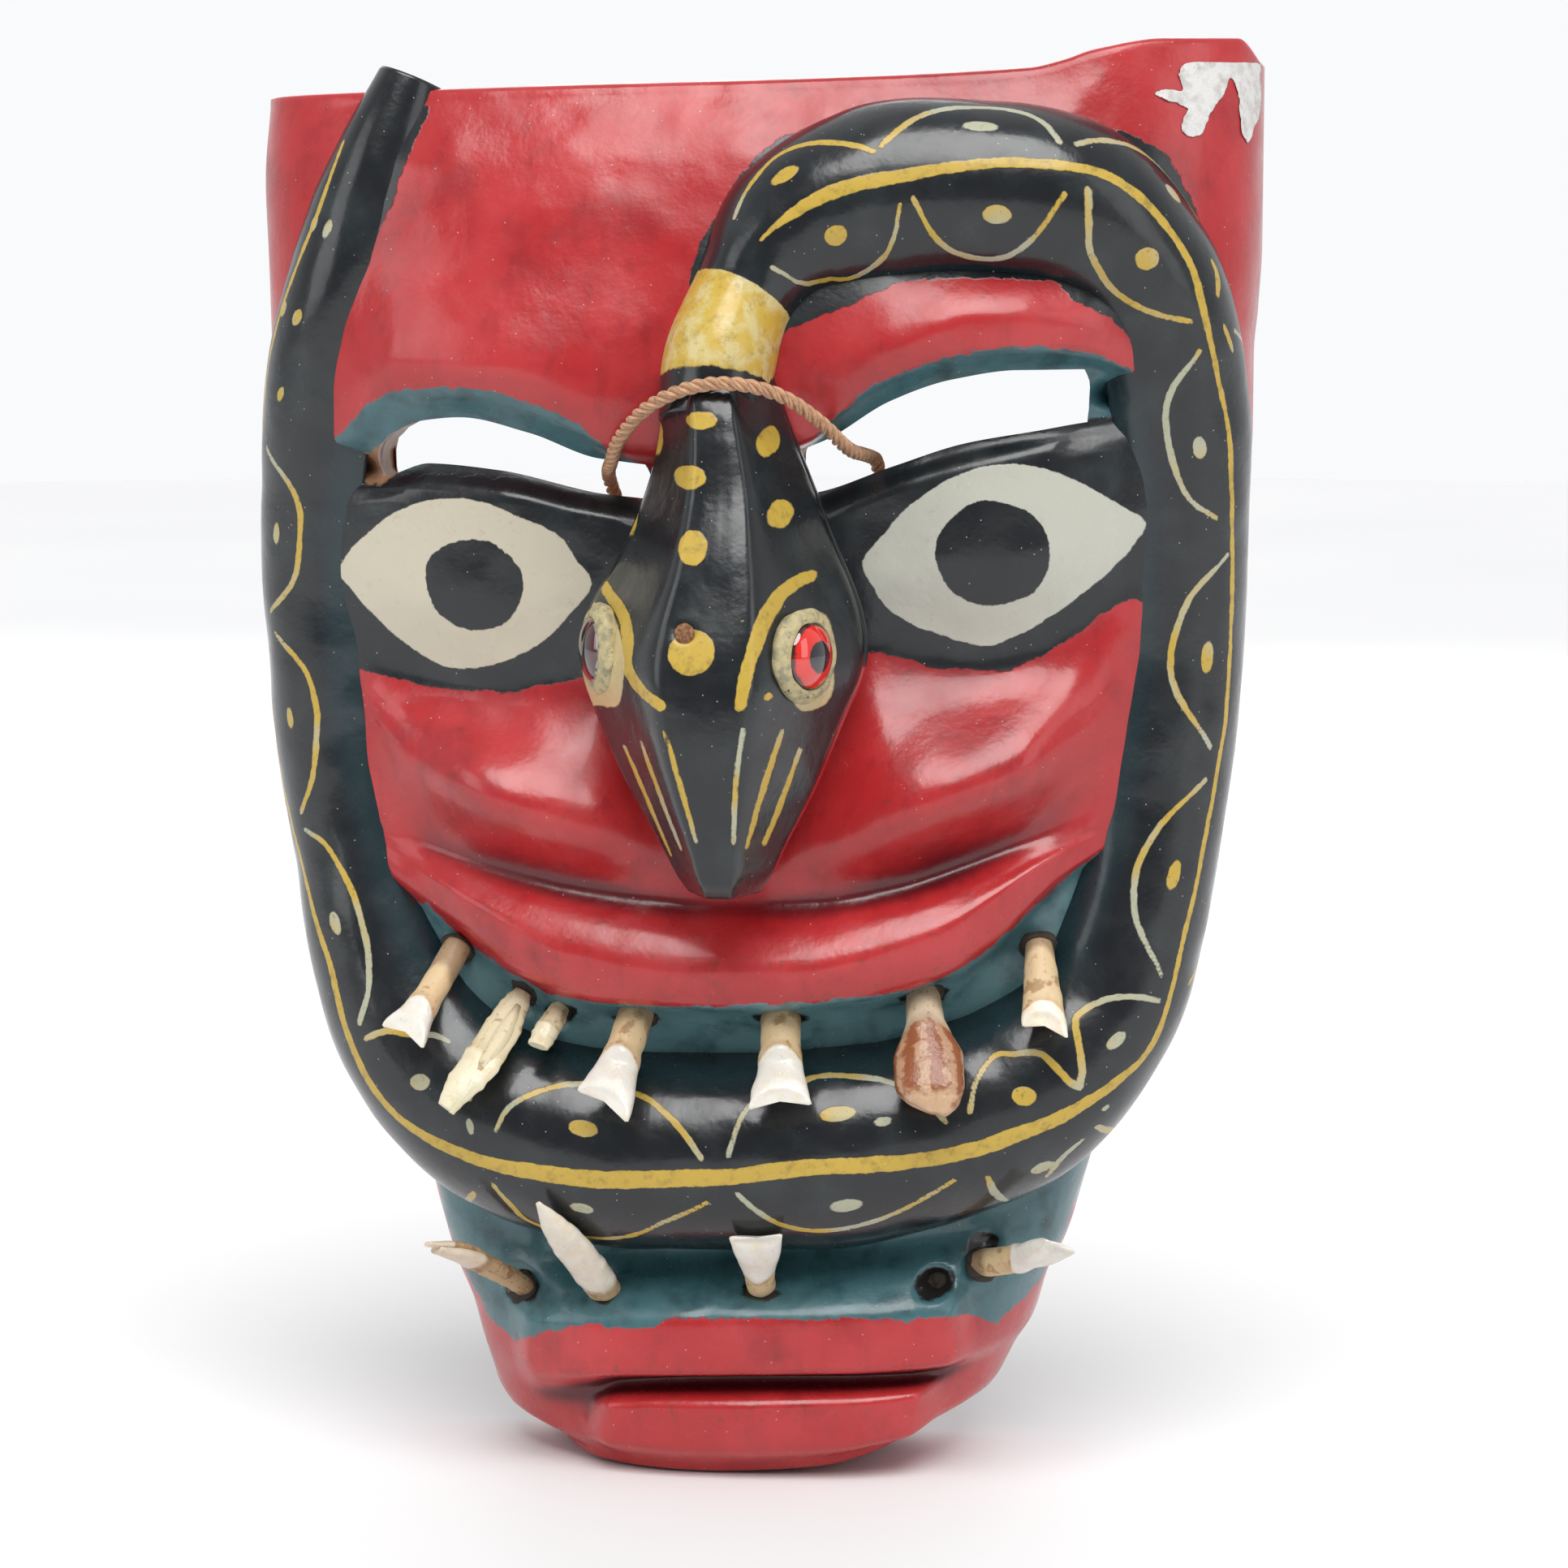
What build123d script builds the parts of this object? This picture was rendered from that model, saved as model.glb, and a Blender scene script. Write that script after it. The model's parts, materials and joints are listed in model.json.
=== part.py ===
from build123d import *
import math
import os

# A painted wooden mask that stands on its chin. Millimetres, +Z up, the face towards -Y, +X to the
# viewer's right. The origin is on the floor, in the middle of the plane of the back rim.

# Driving dimensions
HEIGHT = 402.0            # floor to top edge
RIM_HALF_WIDTH = 143.0    # half the width of the back rim at the forehead
FOREHEAD_DEPTH = 70.0     # back rim to forehead
WALL = 18.0               # thickness of the carved wall in front of the face
SIDE_WALL = 28.0          # thickness of the sides, where the snake's body lies
TOP_WALL = 24.0           # solid wood left under the top edge
BEHIND_RIM = 2.0          # how far the hollow's cutting shape passes the rim
BODY_RADIUS = 23.0        # snake's body where it crosses the brow
MOUTH_RADIUS = 26.0       # snake's body where it fills the mouth
TAIL_RADIUS = 12.0
NECK_RADIUS = 16.0
NECK_END = 309.0          # height of the joint between neck and head
HEAD_REACH = 126.0        # back rim to the top of the snake's head
HEAD_BACK = 52.0          # the head block starts this far ahead of the rim, inside the face
EYE_RADIUS = 8.5          # glass eyes
EYE_DOME = 4.5            # height of the glass
IRIS_THICKNESS = 1.0
PUTTY_WIDTH = 2.5
NAIL_RADIUS = 1.4
NAIL_HEAD_RADIUS = 3.2
NAIL_LENGTH = 72.0
ROOT_RADIUS = 5.0         # tooth roots
SOCKET_RADIUS = 6.6       # holes drilled for the roots
SOCKET_DEPTH = 12.0
ROOT_EMBED = 10.0         # how far a root goes into its hole
CORD_DIAMETER = 4.0
LABEL_THICKNESS = 0.4

# Horizontal slices of the block: height, half width, depth in front of the rim
SLICES = [
    (0, 48, 50), (12, 62, 55), (30, 77, 56), (60, 90, 54), (100, 107, 58), (150, 124, 66),
    (200, 134, 66), (255, 139, 60), (305, 141, FOREHEAD_DEPTH), (355, RIM_HALF_WIDTH, 66),
    (HEIGHT, 139, 46),
]


def d_section(height, half_width, depth, back=0.0):
    """One closed slice: a rounded front on a straight back edge at y = back."""
    side, shoulder = back - 0.9 * (depth + back), back - 1.12 * (depth + back)
    left = [(-half_width, back), (-half_width, side), (-0.62 * half_width, shoulder)]
    right = [(-x, y) for x, y in reversed(left)]
    with BuildSketch(Plane.XY.offset(height)) as sketch:
        with BuildLine():
            Bezier(*left, (0, -depth), *right)
            Line(right[-1], left[0])
        make_face()
    return sketch.sketch.faces()[0]


def tube(points, radius):
    """Round bar along straight runs joined by arcs as large as the runs allow."""
    path = FilletPolyline(*points, radius=corner_radii(points))
    start = Plane(origin=path @ 0, z_dir=path % 0)
    return sweep(start * Circle(radius), path=path).solids()[0]


def corner_radii(points):
    vectors = [Vector(*p) for p in points]
    radii = []
    for before, corner, after in zip(vectors, vectors[1:], vectors[2:]):
        run_in, run_out = corner - before, after - corner
        half_turn = math.radians(run_in.get_angle(run_out)) / 2
        radii.append(0.45 * min(run_in.length, run_out.length) / math.tan(half_turn))
    return radii


def ellipsoid(centre, radii):
    return Pos(*centre) * scale(Sphere(1), by=radii)


def rounded_box(low, high, radius):
    size = [b - a for a, b in zip(low, high)]
    middle = [(a + b) / 2 for a, b in zip(low, high)]
    box = Pos(*middle) * Box(*size)
    return fillet(box.edges(), radius)


def along(start, end):
    """Plane at start whose normal points to end, with its own X as near to the mask's X as it can be."""
    normal = (Vector(*end) - Vector(*start)).normalized()
    return Plane(origin=start, x_dir=Vector(1, 0, 0) - normal * normal.X, z_dir=normal)


def rod(start, end, radius, before=0.0, after=0.0):
    plane = along(start, end)
    length = (Vector(*end) - Vector(*start)).length + before + after
    return plane.offset(-before) * Cylinder(radius, length, align=(Align.CENTER, Align.CENTER, Align.MIN))


# The carved block
blank = loft([d_section(*s) for s in SLICES])
relief = [
    # snake's body over the viewer's right brow, then its neck down to the head
    tube([(0, -62, 332), (6, -58, 356), (30, -55, 369), (66, -50, 369), (98, -42, 358), (114, -33, 330),
          (116, -26, 298)], BODY_RADIUS),
    rod((2, -70, 346), (-1, -81, NECK_END), NECK_RADIUS),
    # body through the mouth
    tube([(-98, -24, 150), (-90, -34, 121), (-68, -43, 103), (-34, -50, 94), (6, -52, 93), (44, -50, 96),
          (78, -40, 108), (96, -26, 138)], MOUTH_RADIUS),
    # tail up the viewer's left
    tube([(-122, -36, 310), (-116, -42, 340), (-106, -42, 368), (-99, -38, 390)], TAIL_RADIUS),
    # rolled upper lip and the cheeks above it
    tube([(-94, -34, 176), (-66, -52, 160), (-30, -64, 154), (6, -68, 153), (46, -62, 160), (92, -38, 184)], 16),
    ellipsoid((-62, -46, 208), (40, 30, 27)),
    ellipsoid((60, -46, 212), (42, 30, 28)),
    # brow over the viewer's left eye
    ellipsoid((-62, -48, 312), (48, 26, 16)),
    # lower lip slab and chin
    rounded_box((-66, -60, 12), (68, -10, 42), 8),
    rounded_box((-42, -64, 0), (54, -10, 26), 8),
]
block = blank.fuse(*relief).solids()[0]
block = block - Pos(0, 0, HEIGHT / 2) * Box(400, 60, 500, align=(Align.CENTER, Align.MIN, Align.CENTER))

# The hollow for the wearer's face runs out through the plane of the rim
hollow = loft([d_section(h, w - SIDE_WALL, d - WALL, back=BEHIND_RIM) for h, w, d in SLICES[2:-1]] +
              [d_section(HEIGHT - TOP_WALL, RIM_HALF_WIDTH - SIDE_WALL, 34, back=BEHIND_RIM)])

# Eye slits, right through the wall: corner points (x, z)
LEFT_SLIT = [(-98, 287), (-92, 298), (-77, 302), (-57, 299), (-30, 293), (-30, 279), (-57, 285), (-77, 288)]
RIGHT_SLIT = [(21, 281), (23, 297), (43, 307), (60, 311), (78, 314), (94, 315), (93, 303), (73, 298),
              (53, 292), (36, 286)]


def slit(corners):
    """Straight-sided cutting shape from inside the hollow to clear of the face."""
    with BuildSketch(Plane.XZ.offset(20)) as sketch:
        with BuildLine():
            Polyline(*corners, close=True)
        make_face()
    return extrude(sketch.sketch, 110)


# Teeth: the point where the root enters the wood, the tip, crown width, crown thickness
UPPER_TEETH = {
    "upper_tooth_1": ((-79, -60, 154), (-91, -82, 132), 16, 5),
    "upper_tooth_2": ((-60, -64, 137), (-78, -84, 120), 9, 6),
    "upper_tooth_3": ((-27, -70, 137), (-34, -90, 115), 17, 5),
    "upper_tooth_4": ((13, -70, 138), (15, -90, 117), 17, 5),
    "upper_tooth_5": ((53, -66, 142), (57, -88, 115), 19, 8),
    "upper_tooth_6": ((84, -56, 160), (87, -78, 136), 12, 6),
}
LOWER_TEETH = {
    "lower_tooth_1": ((-64, -46, 52), (-82, -72, 68), 10, 6),
    "lower_tooth_2": ((-39, -50, 51), (-52, -76, 82), 9, 9),
    "lower_tooth_3": ((6, -52, 52), (7, -79, 76), 16, 5),
    "lower_tooth_5": ((69, -44, 62), (92, -70, 74), 14, 5),
}
EMPTY_SOCKET = ((54, -50, 56), (56, -70, 66))


def tooth(entry, tip, width, thickness):
    """A tapering root that widens into a flat crown."""
    axis = along(entry, tip)
    length = (Vector(*tip) - Vector(*entry)).length
    sections = [
        axis.offset(-ROOT_EMBED) * Circle(0.8 * ROOT_RADIUS),
        axis * Circle(ROOT_RADIUS),
        axis.offset(0.45 * length) * Circle(0.95 * ROOT_RADIUS),
        axis.offset(length) * Ellipse(width / 2, thickness / 2),
    ]
    return loft([s.faces()[0] for s in sections]).solids()[0]


def socket(entry, tip, radius=SOCKET_RADIUS, outward=25.0):
    """Drilled hole on a tooth's axis, open towards the tip."""
    return rod(entry, tip, radius, before=SOCKET_DEPTH, after=outward).solids()[0]


def resin_bed(entry, tip, root):
    """Resin round one root: it fills the drilled hole up to the wood's face."""
    axis = along(entry, tip).offset(-SOCKET_DEPTH)
    plug = axis * Cylinder(SOCKET_RADIUS, SOCKET_DEPTH - 1.0, align=(Align.CENTER, Align.CENTER, Align.MIN))
    return (plug - root).solids()[0]


upper = {name: tooth(*shape) for name, shape in UPPER_TEETH.items()}
lower = {name: tooth(*shape) for name, shape in LOWER_TEETH.items()}
upper_resin = [resin_bed(shape[0], shape[1], upper[name]) for name, shape in UPPER_TEETH.items()]
lower_resin = [resin_bed(shape[0], shape[1], lower[name]) for name, shape in LOWER_TEETH.items()]

# The empty hole: a ragged oval of two overlapping bores, with a skin of old resin at its bottom
empty_entry, empty_tip = EMPTY_SOCKET
empty_hole = rod(empty_entry, empty_tip, 4.6, before=9.0, after=20.0)
empty_hole += Pos(3.0, 0, -1.0) * rod(empty_entry, empty_tip, 3.8, before=9.0, after=20.0)
empty_floor = along(empty_entry, empty_tip).offset(-9.0) * Cylinder(
    4.6, 1.5, align=(Align.CENTER, Align.CENTER, Align.MIN))
lower_resin.append((empty_floor & empty_hole).solids()[0])

# The broken root left beside the split second tooth lies against it, on the face of the resin
STUB_ENTRY, STUB_TIP = (-51, -66, 137), (-53, -74, 131)
stub_hole = rod(STUB_ENTRY, STUB_TIP, 3.2, before=6.0, after=20.0)
stub = rod(STUB_ENTRY, STUB_TIP, 3.2, before=6.0).solids()[0]
stub = (stub - upper["upper_tooth_2"] - upper_resin[1]).solids().sort_by(SortBy.VOLUME)[-1]

mask_shell = block - hollow
for corners in (LEFT_SLIT, RIGHT_SLIT):
    mask_shell = mask_shell - slit(corners)
for entry, tip, *_ in list(UPPER_TEETH.values()) + list(LOWER_TEETH.values()):
    mask_shell = mask_shell - socket(entry, tip)
mask_shell = mask_shell - empty_hole - stub_hole

# Snake's head: slices from the joint at the neck down to the muzzle
# height, middle, half width, reach in front of the rim
HEAD_SLICES = [
    (NECK_END, -1, 16, 97), (290, 0, 20, 104), (266, 0, 31, 115), (244, 0, 39, 123),
    (224, 0, 35, HEAD_REACH), (203, 0, 25, 124), (184, 1, 15, 120), (172, 1, 7, 114),
]


def head_slice(height, middle, half_width, reach):
    side = HEAD_BACK + 0.5 * (reach - HEAD_BACK)
    shoulder = HEAD_BACK + 0.82 * (reach - HEAD_BACK)
    front = [(-half_width, -side), (-0.66 * half_width, -shoulder), (0, -reach),
             (0.66 * half_width, -shoulder), (half_width, -side)]
    front = [(middle + x, y) for x, y in front]
    foot = [(middle + s * 0.85 * half_width, -HEAD_BACK) for s in (-1, 1)]
    with BuildSketch(Plane.XY.offset(height)) as sketch:
        with BuildLine():
            Spline(*front)
            Polyline(front[-1], foot[1], foot[0], front[0])
        make_face()
    return sketch.sketch.faces()[0]


head = loft([head_slice(*s) for s in HEAD_SLICES])
head = (head - mask_shell).solids().sort_by(SortBy.VOLUME)[-1]

# Glass eyes on the sides of the head: middle of the seat, and the way each looks
EYES = {"left": ((-33.2, -89.8, 241), (-0.95, -0.3, 0)), "right": ((23.5, -105.5, 242), (0.87, -0.5, 0))}
EYE_SEAT = 4.0            # depth of the recess in the head
eye_parts = {}
for side, (centre, look) in EYES.items():
    seat = Plane(origin=centre, z_dir=look)
    up = (Align.CENTER, Align.CENTER, Align.MIN)
    recess = seat * Cylinder(EYE_RADIUS + PUTTY_WIDTH, 30, align=up)
    head = (head - recess).solids().sort_by(SortBy.VOLUME)[-1]
    iris = seat * Cylinder(EYE_RADIUS, IRIS_THICKNESS, align=up)
    dome_ball_radius = (EYE_RADIUS ** 2 + EYE_DOME ** 2) / (2 * EYE_DOME)
    glass_base = seat.offset(IRIS_THICKNESS)
    ball = glass_base.offset(EYE_DOME - dome_ball_radius) * Sphere(dome_ball_radius)
    glass = ball & (glass_base * Cylinder(EYE_RADIUS, 20, align=up))
    putty = seat * Cylinder(EYE_RADIUS + PUTTY_WIDTH, EYE_SEAT, align=up)
    putty = putty - seat * Cylinder(EYE_RADIUS, 20, align=up) - glass
    eye_parts[f"{side}_iris"] = iris.solids()[0]
    eye_parts[f"{side}_glass_eye"] = glass.solids()[0]
    eye_parts[f"{side}_eye_putty"] = putty.solids()[0]

# Nail through the top of the head into the face
NAIL_TOP = (-7, -HEAD_REACH - 10, 238)
nail_axis = Plane(origin=NAIL_TOP, z_dir=(0, 1, 0))
nail_start = HEAD_REACH + 10 - 121.0
up = (Align.CENTER, Align.CENTER, Align.MIN)
nail = nail_axis.offset(nail_start) * Cylinder(NAIL_RADIUS, NAIL_LENGTH, align=up)
nail += nail_axis.offset(nail_start) * Cylinder(NAIL_HEAD_RADIUS, 1.5, align=up)
nail_hole = nail_axis * Cylinder(NAIL_HEAD_RADIUS, nail_start + 1.5, align=up)
nail_hole += nail
head = (head - nail_hole).solids().sort_by(SortBy.VOLUME)[-1]
mask_shell = (mask_shell - nail).solids().sort_by(SortBy.VOLUME)[-1]

# Blank paper label's remains on the forehead's upper corner
LABEL_OUTLINE = [(118, 399), (138, 399), (137, 379), (133, 377), (131, 390), (126, 378), (121, 380)]
with BuildSketch(Plane.XZ.offset(4)) as sketch:
    with BuildLine():
        Polyline(*LABEL_OUTLINE, close=True)
    make_face()
label = extrude(sketch.sketch, 60) & (Pos(0.6 * LABEL_THICKNESS, -LABEL_THICKNESS, 0) * blank)
label = (label - blank).solids().sort_by(SortBy.VOLUME)[-1]

# Hanging cord: over the snake's neck, in through both eye slits, down inside to its knot
CORD_ROUTE = [
    (-4, -22, 209), (-15, -23, 231), (-26, -25, 251), (-35, -27, 268), (-39, -36, 283), (-37, -52, 287),
    (-34, -68, 290), (-30, -83, 298), (-19, -95, 309), (-2, -101, 315), (15, -97, 312), (26, -86, 303),
    (32, -71, 294), (35, -55, 292), (38, -38, 289), (35, -27, 272), (26, -25, 252), (15, -23, 231),
    (4, -22, 209),
]
KNOT_CENTRE = (0, -22, 204)
KNOT_RADII = (8, 7, 9)
knot = ellipsoid(KNOT_CENTRE, KNOT_RADII).solids()[0]
cord = (tube(CORD_ROUTE, CORD_DIAMETER / 2) - knot).solids().sort_by(SortBy.VOLUME)[-1]

nodes = {
    "mask_shell": mask_shell,
    "snake_head": head,
    "snake_head_nail": nail,
    **eye_parts,
    **upper,
    "upper_tooth_2_stub": stub,
    **lower,
    "upper_tooth_resin": Compound(children=upper_resin),
    "lower_tooth_resin": Compound(children=lower_resin),
    "paper_label": label,
    "hanging_cord": cord,
    "cord_knot": knot,
}

os.makedirs("parts", exist_ok=True)
for name, shape in nodes.items():
    export_step(shape, f"parts/{name}.step")

route_length = sum((Vector(*b) - Vector(*a)).length for a, b in zip(CORD_ROUTE, CORD_ROUTE[1:]))
cord_section = math.pi * (CORD_DIAMETER / 2) ** 2
print("cord arc radii", [round(r, 1) for r in corner_radii(CORD_ROUTE)])
print("cord volume / section", round(cord.volume / cord_section, 1), "route runs", round(route_length, 1))
print(len(nodes), "nodes, shell", round(mask_shell.volume / 1000), "cm3")
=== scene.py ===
# Carved and painted wooden mask with a snake in relief.
# Shapes are worked out in millimetres and put into the meshes in metres.
import json
import math

import bpy
import numpy as np
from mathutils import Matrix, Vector

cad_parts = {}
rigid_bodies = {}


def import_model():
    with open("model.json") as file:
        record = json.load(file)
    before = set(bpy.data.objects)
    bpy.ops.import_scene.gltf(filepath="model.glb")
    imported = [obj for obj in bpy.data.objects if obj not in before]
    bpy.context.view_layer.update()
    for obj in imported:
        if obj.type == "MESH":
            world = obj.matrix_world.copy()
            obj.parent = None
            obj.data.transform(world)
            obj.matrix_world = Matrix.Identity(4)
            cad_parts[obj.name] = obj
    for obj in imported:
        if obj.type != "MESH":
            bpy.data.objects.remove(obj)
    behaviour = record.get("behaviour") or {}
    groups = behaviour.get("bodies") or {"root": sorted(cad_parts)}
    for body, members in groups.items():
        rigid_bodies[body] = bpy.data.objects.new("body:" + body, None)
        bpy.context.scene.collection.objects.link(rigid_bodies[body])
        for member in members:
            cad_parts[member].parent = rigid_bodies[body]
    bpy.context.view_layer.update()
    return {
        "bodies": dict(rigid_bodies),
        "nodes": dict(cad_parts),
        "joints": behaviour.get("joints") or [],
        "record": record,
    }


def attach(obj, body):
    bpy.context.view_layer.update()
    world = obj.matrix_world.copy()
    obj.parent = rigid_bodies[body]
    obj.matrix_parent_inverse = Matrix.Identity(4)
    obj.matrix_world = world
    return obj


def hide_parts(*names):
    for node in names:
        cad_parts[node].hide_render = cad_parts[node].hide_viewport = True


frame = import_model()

mm = 0.001
print("frame loaded:", len(frame["nodes"]), "solids")


# ---- curves and surfaces ----

def through(knots, at, limited=True):
    # smooth curve through (place, value, value...) knots: cubic pieces that share their slope at each knot;
    # limited keeps each piece between its two knots, so a flat stretch stays flat
    knots = np.asarray(knots, float)
    return throughRows(knots[:, 0], knots[:, 1:], at, limited)


def throughRows(place, value, at, limited=True):
    step = np.diff(place)[:, None]
    rise = np.diff(value, axis=0) / step
    slope = np.zeros_like(value)
    before, after = rise[:-1], rise[1:]
    if limited:
        same = before * after > 0
        total = np.where(same, before + after, 1)
        slope[1:-1] = np.where(same, 2 * before * after / total, 0)
    else:
        slope[1:-1] = (before * step[1:] + after * step[:-1]) / (step[1:] + step[:-1])
    slope[0], slope[-1] = rise[0], rise[-1]
    at = np.clip(np.asarray(at, float), place[0], place[-1])
    i = np.clip(np.searchsorted(place, at, side="right") - 1, 0, len(place) - 2)
    h = step[i]
    f = ((at - place[i])[:, None]) / h
    return ((2 * f ** 3 - 3 * f ** 2 + 1) * value[i] + (f ** 3 - 2 * f ** 2 + f) * h * slope[i]
            + (3 * f ** 2 - 2 * f ** 3) * value[i + 1] + (f ** 3 - f ** 2) * h * slope[i + 1])


def evenSteps(points, count):
    # the same line cut into equal steps along its length
    run = np.concatenate([[0], np.cumsum(np.linalg.norm(np.diff(points, axis=0), axis=1))])
    at = np.linspace(0, run[-1], count)
    return np.stack([np.interp(at, run, c) for c in points.T], axis=1)


def rounded(points, steps=6, closed=False):
    # a line through the points with its corners rounded, steps short pieces between each two
    points = np.asarray(points, float)
    if closed:
        points = np.vstack([points[-1:], points, points[:2]])
    place = np.arange(len(points), dtype=float)
    at = np.linspace(1, len(points) - 2, (len(points) - 3) * steps + 1) if closed else \
        np.linspace(0, len(points) - 1, (len(points) - 1) * steps + 1)
    return throughRows(place, points, at, limited=False)


def unevenness(a, b, size, seed):
    # smooth random field from -1 to 1: values on a square lattice of that size, blended between corners
    lattice = np.random.default_rng(seed).uniform(-1, 1, (97, 97))
    u, v = a / size + 300, b / size + 300
    i, j = np.floor(u).astype(int), np.floor(v).astype(int)
    f, g = u - i, v - j
    f, g = f * f * (3 - 2 * f), g * g * (3 - 2 * g)
    i0, i1, j0, j1 = i % 97, (i + 1) % 97, j % 97, (j + 1) % 97
    return ((lattice[i0, j0] * (1 - f) + lattice[i1, j0] * f) * (1 - g)
            + (lattice[i0, j1] * (1 - f) + lattice[i1, j1] * f) * g)


def blurred(grid, passes):
    # running mean of each value with its four neighbours
    for _ in range(passes):
        padded = np.pad(grid, 1, mode="edge")
        grid = (padded[1:-1, 1:-1] + padded[:-2, 1:-1] + padded[2:, 1:-1] + padded[1:-1, :-2] + padded[1:-1, 2:]) / 5
    return grid


def lineDistance(points, a, b, halfWidths):
    # distance from each (a, b) to the nearest point of a broken line, less the line's half width there
    points = np.asarray(points, float)
    widths = np.broadcast_to(np.asarray(halfWidths, float), (len(points),))
    best = np.full(np.shape(a), 999.0)
    for p, q, wp, wq in zip(points[:-1], points[1:], widths[:-1], widths[1:]):
        d = q - p
        f = np.clip(((a - p[0]) * d[0] + (b - p[1]) * d[1]) / max(d @ d, 1e-9), 0, 1)
        best = np.minimum(best, np.hypot(a - p[0] - f * d[0], b - p[1] - f * d[1]) - wp - f * (wq - wp))
    return best


def areaDistance(outline, a, b):
    # distance from each (a, b) to a closed outline, negative inside it
    outline = np.asarray(outline, float)
    ring = np.vstack([outline, outline[:1]])
    far = lineDistance(ring, a, b, 0)
    inside = np.zeros(np.shape(a), bool)
    for p, q in zip(ring[:-1], ring[1:]):
        if p[1] != q[1]:
            crosses = (p[1] > b) != (q[1] > b)
            inside ^= crosses & (a < p[0] + (b - p[1]) * (q[0] - p[0]) / (q[1] - p[1]))
    return np.where(inside, -far, far)


def spot(a, b, centre, radius):
    # 1 at the centre of a round or oval spot, falling smoothly to 0 at its edge
    radius = np.broadcast_to(radius, (2,))
    r = np.hypot((a - centre[0]) / radius[0], (b - centre[1]) / radius[1])
    return np.where(r < 1, (1 - np.clip(r, 0, 1) ** 2) ** 2, 0)


def gridFaces(rows, columns, aroundColumns=False, aroundRows=False, start=0):
    # corner numbers of the quads between neighbouring rows and columns
    i = np.arange(rows if aroundRows else rows - 1)[:, None]
    j = np.arange(columns if aroundColumns else columns - 1)[None, :]
    i1, j1 = (i + 1) % rows, (j + 1) % columns
    quads = np.stack(np.broadcast_arrays(i * columns + j, i * columns + j1, i1 * columns + j1, i1 * columns + j), -1)
    return quads.reshape(-1, 4) + start


def makePiece(name, points, faces, stands, material, marks=None, sharp=None):
    # points in millimetres as a flat list of corners; marks are named values, one for each corner
    points = np.asarray(points, float).reshape(-1, 3)
    mesh = bpy.data.meshes.new(name)
    mesh.vertices.add(len(points))
    mesh.vertices.foreach_set("co", (points * mm).astype(np.float32).ravel())
    faces = np.asarray(faces, np.int32).reshape(-1, 4)
    mesh.loops.add(faces.size)
    mesh.loops.foreach_set("vertex_index", faces.ravel())
    mesh.polygons.add(len(faces))
    mesh.polygons.foreach_set("loop_start", np.arange(0, faces.size, 4, dtype=np.int32))
    mesh.polygons.foreach_set("loop_total", np.full(len(faces), 4, np.int32))
    mesh.polygons.foreach_set("use_smooth", np.ones(len(faces), bool))
    mesh.update(calc_edges=True)
    for key, value in (marks or {}).items():
        mesh.attributes.new(key, "FLOAT", "POINT").data.foreach_set("value", np.asarray(value, np.float32).ravel())
    mesh.validate()
    piece = bpy.data.objects.new(name, mesh)
    bpy.context.scene.collection.objects.link(piece)
    piece.data.materials.append(material)
    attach(piece, "root")
    if stands:
        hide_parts(*stands)
    return piece


def capRows(points):
    # a closed tube's rows with an end row drawn in to its middle at both ends, so that the tube is closed
    def drawn(row, share):
        middle = row.mean(axis=0)
        return middle + (row - middle) * share
    first, last = points[0], points[-1]
    return np.stack([drawn(first, s) for s in (0.001, 0.5, 0.9)] + list(points) + [drawn(last, s) for s in (0.9, 0.5, 0.001)])


def capValues(values):
    return np.concatenate([np.repeat(values[:1], 3, axis=0), values, np.repeat(values[-1:], 3, axis=0)])


# ---- paint and finishes ----

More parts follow.
